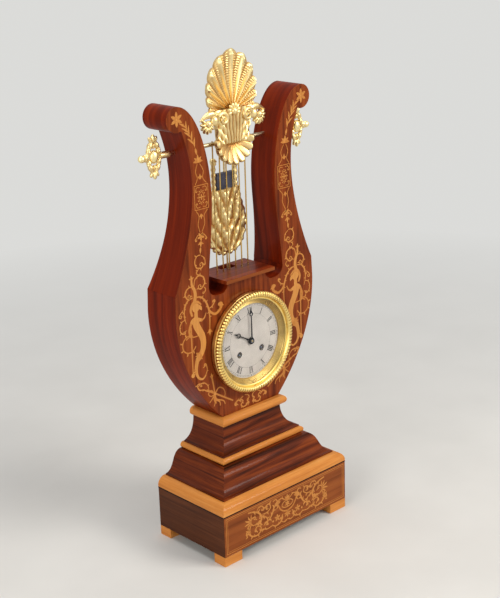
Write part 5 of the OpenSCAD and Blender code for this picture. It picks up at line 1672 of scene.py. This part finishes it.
@dataclass
class Castings:
    """Gilt crest with its shell, waist, skirt and side flowers, and the two keys."""

    finishes: Finishes
    fan_z: float = 560.0
    fan_len: float = 73.0
    fan_y: float = 17.0
    rib_step: float = 17.0
    rib_shares: tuple[float, ...] = (1.0, 0.92, 0.8, 0.66, 0.54, 0.44)
    bead: float = 3.0
    rosette_r: float = 7.2
    waist_y: float = 18.0
    waist_h: float = 43.0
    waist_low: float = 3.0
    volute: Point = (20.5, 32.0)
    crest_back: float = 20.5
    skirt_y: float = 17.4
    skirt_z: float = 525.0
    skirt_r: float = 27.5
    lobes: int = 9
    lobe_fan: float = 96.0
    leaf_y: float = 15.5
    flower: Point = (43.0, 550.5)
    petal_r: float = 6.6
    bar_y: float = 26.0
    key_x: float = 121.0

    def build(self) -> None:
        """Build the crest and both keys."""
        crest = Surface()
        self.shell(crest)
        self.waist(crest)
        self.skirt(crest)
        for side in SIDES:
            self.side_leaf(crest, side)
        crest.build("crest_casting", self.finishes.gilt, "case", "gilt", ["crest"], crease=60.0)
        for side, name in zip(SIDES, ("left", "right")):
            key = Surface()
            self.key(key, side)
            key.build(f"{name}_key_casting", self.finishes.gilt, "case", "gilt", [f"{name}_key"], crease=50.0)

    def shell(self, surface: Surface) -> None:
        """Fan of ribs: a power of a cosine across each rib, two rows of beads beside it, a curl at the edge.

        Args:
            surface: Where it goes.
        """
        last = len(self.rib_shares) - 1
        ribs = 2 * last + 1
        s = np.linspace(-ribs / 2, ribs / 2, ribs * 22 + 1)
        part = s - np.round(s)
        near = dome(1.95 * part)
        reach = np.interp(np.abs(s), np.arange(last + 1), self.fan_len * np.array(self.rib_shares))
        t = np.linspace(0.02, 1.0, 120)[:, None]
        r = t * (reach - 0.8 + 5.6 * near)[None, :]
        ridge = wave(part) ** 3
        rows = hump(np.abs(part), 0.32, 0.11) * unit(t * 4 - 0.6) * unit(8 * (1 - t))
        beads = wave(r / self.bead) * rows
        curl = unit((t - 0.7) / 0.3) ** 2
        rise = ridge * (1.2 + 3.6 * t) + 1.3 * beads * (0.4 + t) + 2.0 * curl * near
        rise = (rise - 2.4 * np.sin(np.pi * t) * (1 - ridge)) * np.clip((1.0 - t) * 12.0, 0.3, 1.0)
        c, k = heading(s * self.rib_step).T
        x, z = r * k, r * c
        front = places(x, self.fan_y - rise, self.fan_z + z)
        back = places(0.985 * x, self.crest_back - 0.1 - 0.4 * rise, self.fan_z + 0.985 * z)
        # Tone paints highlights on the ribs, beads and curled edge, and shade between the ribs.
        surface.cushion(front, back, unit(0.22 + 0.7 * ridge + 0.65 * beads + 0.25 * curl * near))
        middle = self.fan_z + 1
        surface.ball((0, 12.5, middle), (4.6, 3.6, 4.6))
        for angle in range(-105, 106, 30):
            x, z = self.rosette_r * heading(90 - angle)
            surface.ball((x, 13.2, middle + z), (2.3, 2.4, 3.9), -angle)

    def waist(self, surface: Surface) -> None:
        """Fluted leaf between shell and skirt: ridges that part at the middle and spread to its shoulders.

        Args:
            surface: Where it goes.
        """
        z = np.linspace(-self.waist_low, self.waist_h, 60)[:, None]
        u = np.linspace(-1.0, 1.0, 111)[None, :]
        aside = np.abs(u)
        half = np.interp(z, [-3, 4, 10, 18, 26, 34, 40, 43], [23, 25.5, 26.5, 27, 28.5, 31, 32, 30])
        sweep = aside * (1.0 - 0.3 * unit(z / self.waist_h) ** 2) + 0.02 * np.sin(z / 4.0)
        ridges = np.abs(np.cos(5.5 * np.pi * sweep))
        leafage = wave(z / 12.0 - 2.6 * aside)
        outer = unit((aside - 0.35) / 0.3)
        shoulder = hump(z, 33.0, 7.0) * hump(aside, 0.72, 0.22)
        flutes = 2.3 * ridges**0.8 * (1 - 0.4 * outer)
        rise = 4.0 * dome(0.94 * u) + flutes + 2.2 * leafage * outer + 3.2 * shoulder
        front = places(u * half, self.waist_y - rise * np.clip((z + 3.6) / 4.0, 0.2, 1.0), BAR_Z + z)
        back = places(u * half, self.crest_back, BAR_Z + z)
        # Tone paints highlights on the flutes, outer leaf lobes and shoulders, and shade between them.
        surface.cushion(front, back, unit(0.1 + 0.6 * ridges + 0.5 * leafage * outer + 0.3 * shoulder))
        for side in SIDES:
            centre = (self.volute[0] * side, BAR_Z + self.volute[1])
            path = spiral(centre, 8.0, 2.2, 90 - 60 * side, 420 * side, 44)
            points = places(path[:, 0], np.linspace(11.5, 8.6, len(path)), path[:, 1])
            surface.tube(points, np.linspace(3.1, 1.7, len(path)), 10)

    def skirt(self, surface: Surface) -> None:
        """Cupped half shell: lobes round its lower edge curl forward from a deep hollow.

        Args:
            surface: Where it goes.
        """
        s = np.linspace(0.0, self.lobes, self.lobes * 16 + 1)[None, :]
        near = dome(1.96 * (s - np.floor(s) - 0.5))
        a = np.radians(-90.0 + (s / self.lobes * 2.0 - 1.0) * self.lobe_fan)
        t = np.linspace(0.12, 1.0, 52)[:, None]
        r = t * (self.skirt_r + 4.4 * near)
        fold = unit((t - 0.22) / 0.78)
        lip = unit((t - 0.88) / 0.12) ** 2
        ahead = 4.6 * fold**1.1 + 5.2 * near * fold**1.7 - 4.4 * lip - 1.6 * (1 - t)
        x, z = r * np.cos(a), r * np.sin(a)
        front = places(x, self.skirt_y - ahead, self.skirt_z + z)
        back = places(x, self.crest_back - 0.2 - 0.7 * ahead, self.skirt_z + 0.99 * z)
        # Tone paints shade in the hollow and between the lobes, and highlights on the lobes towards the lip.
        surface.cushion(front, back, unit(0.12 + 0.75 * fold * (0.2 + 0.8 * near**1.5)))

    def side_leaf(self, surface: Surface, side: float) -> None:
        """Horned leaf that springs from the waist's shoulder and the tuft of petals that hangs from it.

        Args:
            surface: Where it goes.
            side: -1 for the left, 1 for the right.
        """
        flat = smooth_path([(27, 558), (36, 561.5), (46, 559.5), (55, 555)])
        radius = np.interp(np.linspace(0, 1, len(flat)), [0, 0.5, 1], [5.4, 4.4, 0.6])
        surface.tube(places(flat[:, 0] * side, self.leaf_y, flat[:, 1]), radius, 12, 0.8)
        surface.ball((33 * side, 13.5, 553.5), (6.2, 4.6, 6.4))
        x, z = self.flower[0] * side, self.flower[1]
        for angle in range(-175, 40, 30):
            aim = angle if side > 0 else 180 - angle
            dx, dz = self.petal_r * heading(aim)
            surface.ball((x + dx, 15.2, z - 1.0 + dz), (5.4, 3.6, 2.1), aim)
        surface.ball((x, 13.4, z), (4.6, 3.8, 4.6))

    def key(self, surface: Surface, side: float) -> None:
        """Pierced lozenge of four bowed bars with a boss, leaf tufts, an outer ball and the bar's socket.

        Args:
            surface: Where it goes.
            side: -1 for the left, 1 for the right.
        """
        def knob(x: float, z: float, radii: Sequence[float], turn: float = 0.0, tone: float = 0.8,
                 ahead: float = 0.0) -> None:
            """Add a ball at a place in the key's own frame, x outward."""
            surface.ball(((self.key_x + x) * side, self.bar_y - ahead, BAR_Z + z), radii, turn, tone)

        for h in SIDES:
            for v in SIDES:
                knots = [(13.0 * h, 0.0), (8.0 * h, 5.0 * v), (6.2 * h, 11.0 * v), (2.0 * h, 19.5 * v)]
                flat = smooth_path(knots)
                points = places((self.key_x + flat[:, 0]) * side, self.bar_y, BAR_Z + flat[:, 1])
                surface.tube(points, 2.9 + 0.6 * np.sin(np.linspace(0.0, 6 * np.pi, len(flat))), 10)
        # Tones near 1 paint highlights on the boss and end balls.
        knob(0.0, 0.0, (6.3, 5.2, 8.2), tone=0.95)
        for v in SIDES:
            knob(0.0, 22.3 * v, (2.7, 3.2, 5.0), tone=0.95, ahead=0.5)
            for h in SIDES:
                knob(4.0 * h, 20.5 * v, (2.1, 2.6, 4.4), -28.0 * h * v * side)
                knob(7.5 * h, 9.0 * v, (2.8, 2.8, 2.8))
            knob(0.0, 13.0 * v, (2.0, 2.6, 3.4))
        knob(18.0, 0.0, (5.0, 4.5, 4.5), tone=0.95)
        knob(13.0, 0.0, (3.0, 4.0, 4.8))
        socket = places(np.array([98.0, 104.0, 112.0]) * side, self.bar_y, BAR_Z)
        surface.tube(socket, np.array([4.1, 4.4, 4.0]), 16)


@dataclass
class Bob:
    """Pendulum: rod and hanger, the cast lyre bob with its columns, and the steel block between them."""

    finishes: Finishes
    y: float = 36.0
    low: float = 373.0
    height: float = 124.0
    half: float = 35.0
    belly: float = 42.0
    belly_pull: Point = (14.0, 63.0)
    neck_half: float = 22.0
    fork: float = 86.5
    column_x: float = 18.5
    column_low: float = 58.0
    pivot: float = 518.0
    pivot_half: float = 1.8
    pivot_r: float = 2.4
    rod_r: float = 1.25
    tail: float = 347.2
    block_up: float = 86.0
    block_h: float = 22.0
    block_run: Run = (14.5, 2.4, 2.4)
    block_edge: float = 0.6

    def build(self) -> None:
        """Build the gilt casting and the block."""
        cast = Surface()
        self.bowl(cast)
        for side in SIDES:
            self.column(cast, side)
        heights = np.array([self.tail, self.low, self.low + self.fork, self.pivot])
        cast.tube(places(0.0, self.y, heights), self.rod_r, 12)
        pin = places(0.0, self.y + self.pivot_half * np.array([-1.0, 0.0, 1.0]), self.pivot)
        cast.tube(pin, self.pivot_r, 20, across=(1.0, 0.0, 0.0))
        cast.build("lyre_bob", self.finishes.gilt, "pendulum", "gilt", ["pendulum"], crease=60.0)
        block = Surface()
        foot, edge = self.low + self.block_up, self.block_edge
        top = foot + self.block_h
        wall = np.array([[edge, foot], [0.0, foot + edge], [0.0, top - edge], [edge, top]])
        block.mitred(wall, self.block_run, True, (0.0, self.y))
        block.build("bob_block", self.finishes.dark_steel, "pendulum", "steel", bevel=0.3)

    def bowl(self, surface: Surface) -> None:
        """Bowl: width from the lyre's curve with scalloped sides; a leaf of slanting lobes on its front.

        Args:
            surface: Where it goes.
        """
        side, belly, neck = self.half, self.belly, self.neck_half
        pull_low, pull_high = self.belly_pull
        edge = joined(bezier((0.0, 0.0), (0.6 * side, 0.0), (side, pull_low), (side, belly)),
                      bezier((side, belly), (side, pull_high), (neck, pull_high), (neck, self.height)))
        z = np.linspace(0.25, self.fork, 110)[:, None]
        u = np.linspace(-1.0, 1.0, 121)[None, :]
        aside, bow = np.abs(u), dome(u)
        x = u * np.interp(z, edge[:, 1], edge[:, 0]) * (1.0 - 0.045 * wave(z / 10.0))
        rib = hump(aside, 0.0, 0.1) + 0.8 * hump(aside, 0.86, 0.09)
        lobe = np.mod(z / 27.0 - 2.3 * aside**0.9 + 0.08 * np.sin(z / 6.0), 1.0)
        swell = np.sin(np.pi * lobe**1.4)
        vein = wave(z / 9.0 + 1.5 * aside) * swell
        rise = 1.2 + bow * (0.9 + 1.9 * swell + 0.7 * vein) + 1.3 * rib * np.sqrt(bow)
        low_end = np.clip(z / 5.0, 0.15, 1.0)
        front = places(x, self.y - rise * low_end, self.low + z)
        back = places(x, self.y + (1.4 + 1.4 * bow) * low_end, self.low + z)
        # Tone paints highlights on the lobes' swells, veins and edge ribs, and shade between them.
        surface.cushion(front, back, unit(0.12 + 0.6 * swell + 0.25 * vein + 0.35 * rib))
        for x0, z0 in edge[np.linspace(4, 37, 6).astype(int)]:
            for sign in SIDES:
                surface.ball((0.93 * x0 * sign, self.y, self.low + z0 + 1.6), (3.6, 3.2, 3.6))

    def column(self, surface: Surface, side: float) -> None:
        """Knobbed column from the bowl up to its ball: a bar whose radius is a cosine along it.

        Args:
            surface: Where it goes.
            side: -1 for the left, 1 for the right.
        """
        x, top = self.column_x * side, self.low + self.height
        z = np.linspace(self.low + self.column_low, top - 1.0, 40)
        surface.tube(places(x, self.y, z), 3.1 + 0.55 * np.cos(2 * np.pi * (z - z[0]) / 8.0), 12, 0.9)
        # Tones near 1 paint highlights on the top ball and its beads.
        surface.ball((x, self.y, top), (4.4, 4.2, 4.4), tone=0.95)
        for dx, dz in 2.9 * heading(72.0 * np.arange(5) + 90.0):
            surface.ball((x + dx, self.y - 2.2, top - 1.0 + dz), (1.7, 1.5, 1.7), tone=0.9)


@dataclass(frozen=True)
class Lamp:
    """A square soft light that faces the clock's middle; places and sizes are in metres."""

    name: str
    place: tuple[float, float, float]
    size: float
    watts: float
    colour: Colour = (1.0, 1.0, 1.0)
    aim: tuple[float, float, float] = (0.0, 0.0, 0.3)

    def build(self) -> None:
        """Add the light to the scene."""
        data = bpy.data.lights.new(self.name, "AREA")
        data.size, data.energy, data.color = self.size, self.watts, self.colour
        light = bpy.data.objects.new(self.name, data)
        light.location = self.place
        light.rotation_euler = (Vector(self.aim) - Vector(self.place)).to_track_quat("-Z", "Y").to_euler()
        bpy.context.scene.collection.objects.link(light)


@dataclass
class Studio:
    """Camera, soft lights, floor and surroundings; the floor's sizes are in metres."""

    azimuth: float = -43.03
    elevation: float = 18.56
    roll: float = -1.82
    distance: float = 1622.23
    target: tuple[float, float, float] = (4.38, 0.0, 317.68)
    lens: float = 75.64
    sensor: float = 36.0
    reach: float = 30.0
    fade: Point = (0.35, 1.5)
    fill: float = 0.32
    fill_colour: Colour = (0.80, 0.82, 0.85)
    surround: Colour = (0.86, 0.86, 0.85)
    floor_dark: Colour = (0.86, 0.85, 0.83)
    floor_light: Colour = (0.89, 0.88, 0.86)
    lamps: tuple[Lamp, ...] = (
        Lamp("key", (0.9, -1.7, 1.5), 1.1, 34.0, (1.0, 0.97, 0.92)),
        Lamp("side", (-1.9, -0.5, 0.9), 1.2, 17.0, (1.0, 0.96, 0.9)),
        Lamp("top", (-0.2, 0.2, 2.2), 1.0, 15.0),
    )

    def camera(self) -> None:
        """Place the camera on its line of sight: three square axes, two of them turned by the roll."""
        az, el, roll = (math.radians(v) for v in (self.azimuth, self.elevation, self.roll))
        back = np.array([math.sin(az) * math.cos(el), -math.cos(az) * math.cos(el), math.sin(el)])
        right = np.cross(-back, [0.0, 0.0, 1.0])
        right /= np.linalg.norm(right)
        up = np.cross(back, right)
        x = right * math.cos(roll) + up * math.sin(roll)
        y = -right * math.sin(roll) + up * math.cos(roll)
        eye = (np.array(self.target) + back * self.distance) * MM
        matrix = np.eye(4)
        matrix[:3] = np.column_stack([x, y, back, eye])
        data = bpy.data.cameras.new("camera")
        data.lens, data.sensor_width = self.lens, self.sensor
        camera = bpy.data.objects.new("camera", data)
        bpy.context.scene.collection.objects.link(camera)
        camera.matrix_world = Matrix(matrix.tolist())
        bpy.context.scene.camera = camera

    def paint(self) -> Material:
        """Pale floor paint with shadows near the clock, that fades into the pale surroundings farther off.

        Returns:
            The material.
        """
        net = Net.material("pale_floor")
        place = net.place(Coords.PLACE)
        mottle = net.noise(place, 6.0, 3.0)
        colour = net.ramp(mottle, [(0.3, self.floor_dark), (0.7, self.floor_light)])
        net.wire(colour, net.shader, "Base Color")
        net.put(Roughness=0.8)
        away = net.add("ShaderNodeVectorMath", operation="LENGTH")
        net.wire(place, away, 0)
        share = net.math("MULTIPLY", net.span(away.outputs["Value"], 0.0, 1.0, *self.fade), net.seen())
        glow = net.add("ShaderNodeEmission")
        glow.inputs["Color"].default_value = linear(self.surround)
        net.show("Material Output", share, net.shader.outputs["BSDF"], glow.outputs["Emission"])
        return net.owner

    def sky(self) -> None:
        """World that lights the clock softly and shows pale where it is looked at."""
        net = Net(bpy.data.worlds.new("studio"))
        bpy.context.scene.world = net.owner
        light, shown = net.tree.nodes["Background"], net.add("ShaderNodeBackground")
        light.inputs["Color"].default_value = (*self.fill_colour, 1.0)
        light.inputs["Strength"].default_value = self.fill
        shown.inputs["Color"].default_value = linear(self.surround)
        net.show("World Output", net.seen(), light.outputs[0], shown.outputs[0])

    def build(self) -> None:
        """Set up the camera, the world, the floor and the lights."""
        self.camera()
        self.sky()
        scene = bpy.context.scene
        scene.view_settings.view_transform = "Standard"
        mesh = bpy.data.meshes.new("floor")
        c, k = self.reach * heading(np.arange(0, 360, 5)).T
        mesh.from_pydata(places(c, k, 0.0).tolist(), [], [list(range(len(c)))])
        mesh.materials.append(self.paint())
        floor = bpy.data.objects.new("floor", mesh)
        scene.collection.objects.link(floor)
        for lamp in self.lamps:
            lamp.build()


def dress_solids(frame: dict, finishes: Finishes) -> None:
    """Give every shown solid the material of its slot.

    Args:
        finishes: The clock's materials.
    """
    f = finishes
    by_slot = {"rosewood": f.plain_wood, "mahogany": f.plain_wood, "satinwood": f.pale_solid,
               "gilt": f.brass, "brass": f.brass, "steel": f.steel, "blued": f.blued_steel,
               "silvered": f.silvered_plate, "glass": f.clear_glass}
    slots = {part["node"]: part["material_slot"] for part in frame["record"]["subparts"]}
    for name, node in frame["nodes"].items():
        node.data.materials.clear()
        node.data.materials.append(f.bar_metal if name == "cross_bar" else by_slot[slots[name]])


def main() -> None:
    """Build the clock and its studio."""
    logging.basicConfig(level=logging.INFO, format="%(message)s")
    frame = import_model()
    finishes = Finishes.make()
    Studio().build()
    dress_solids(frame, finishes)
    for part in (Plinth, LyreCase, Marquetry, DialWork, Castings, Bob):
        part(finishes).build()


if __name__ == "__main__":
    main()
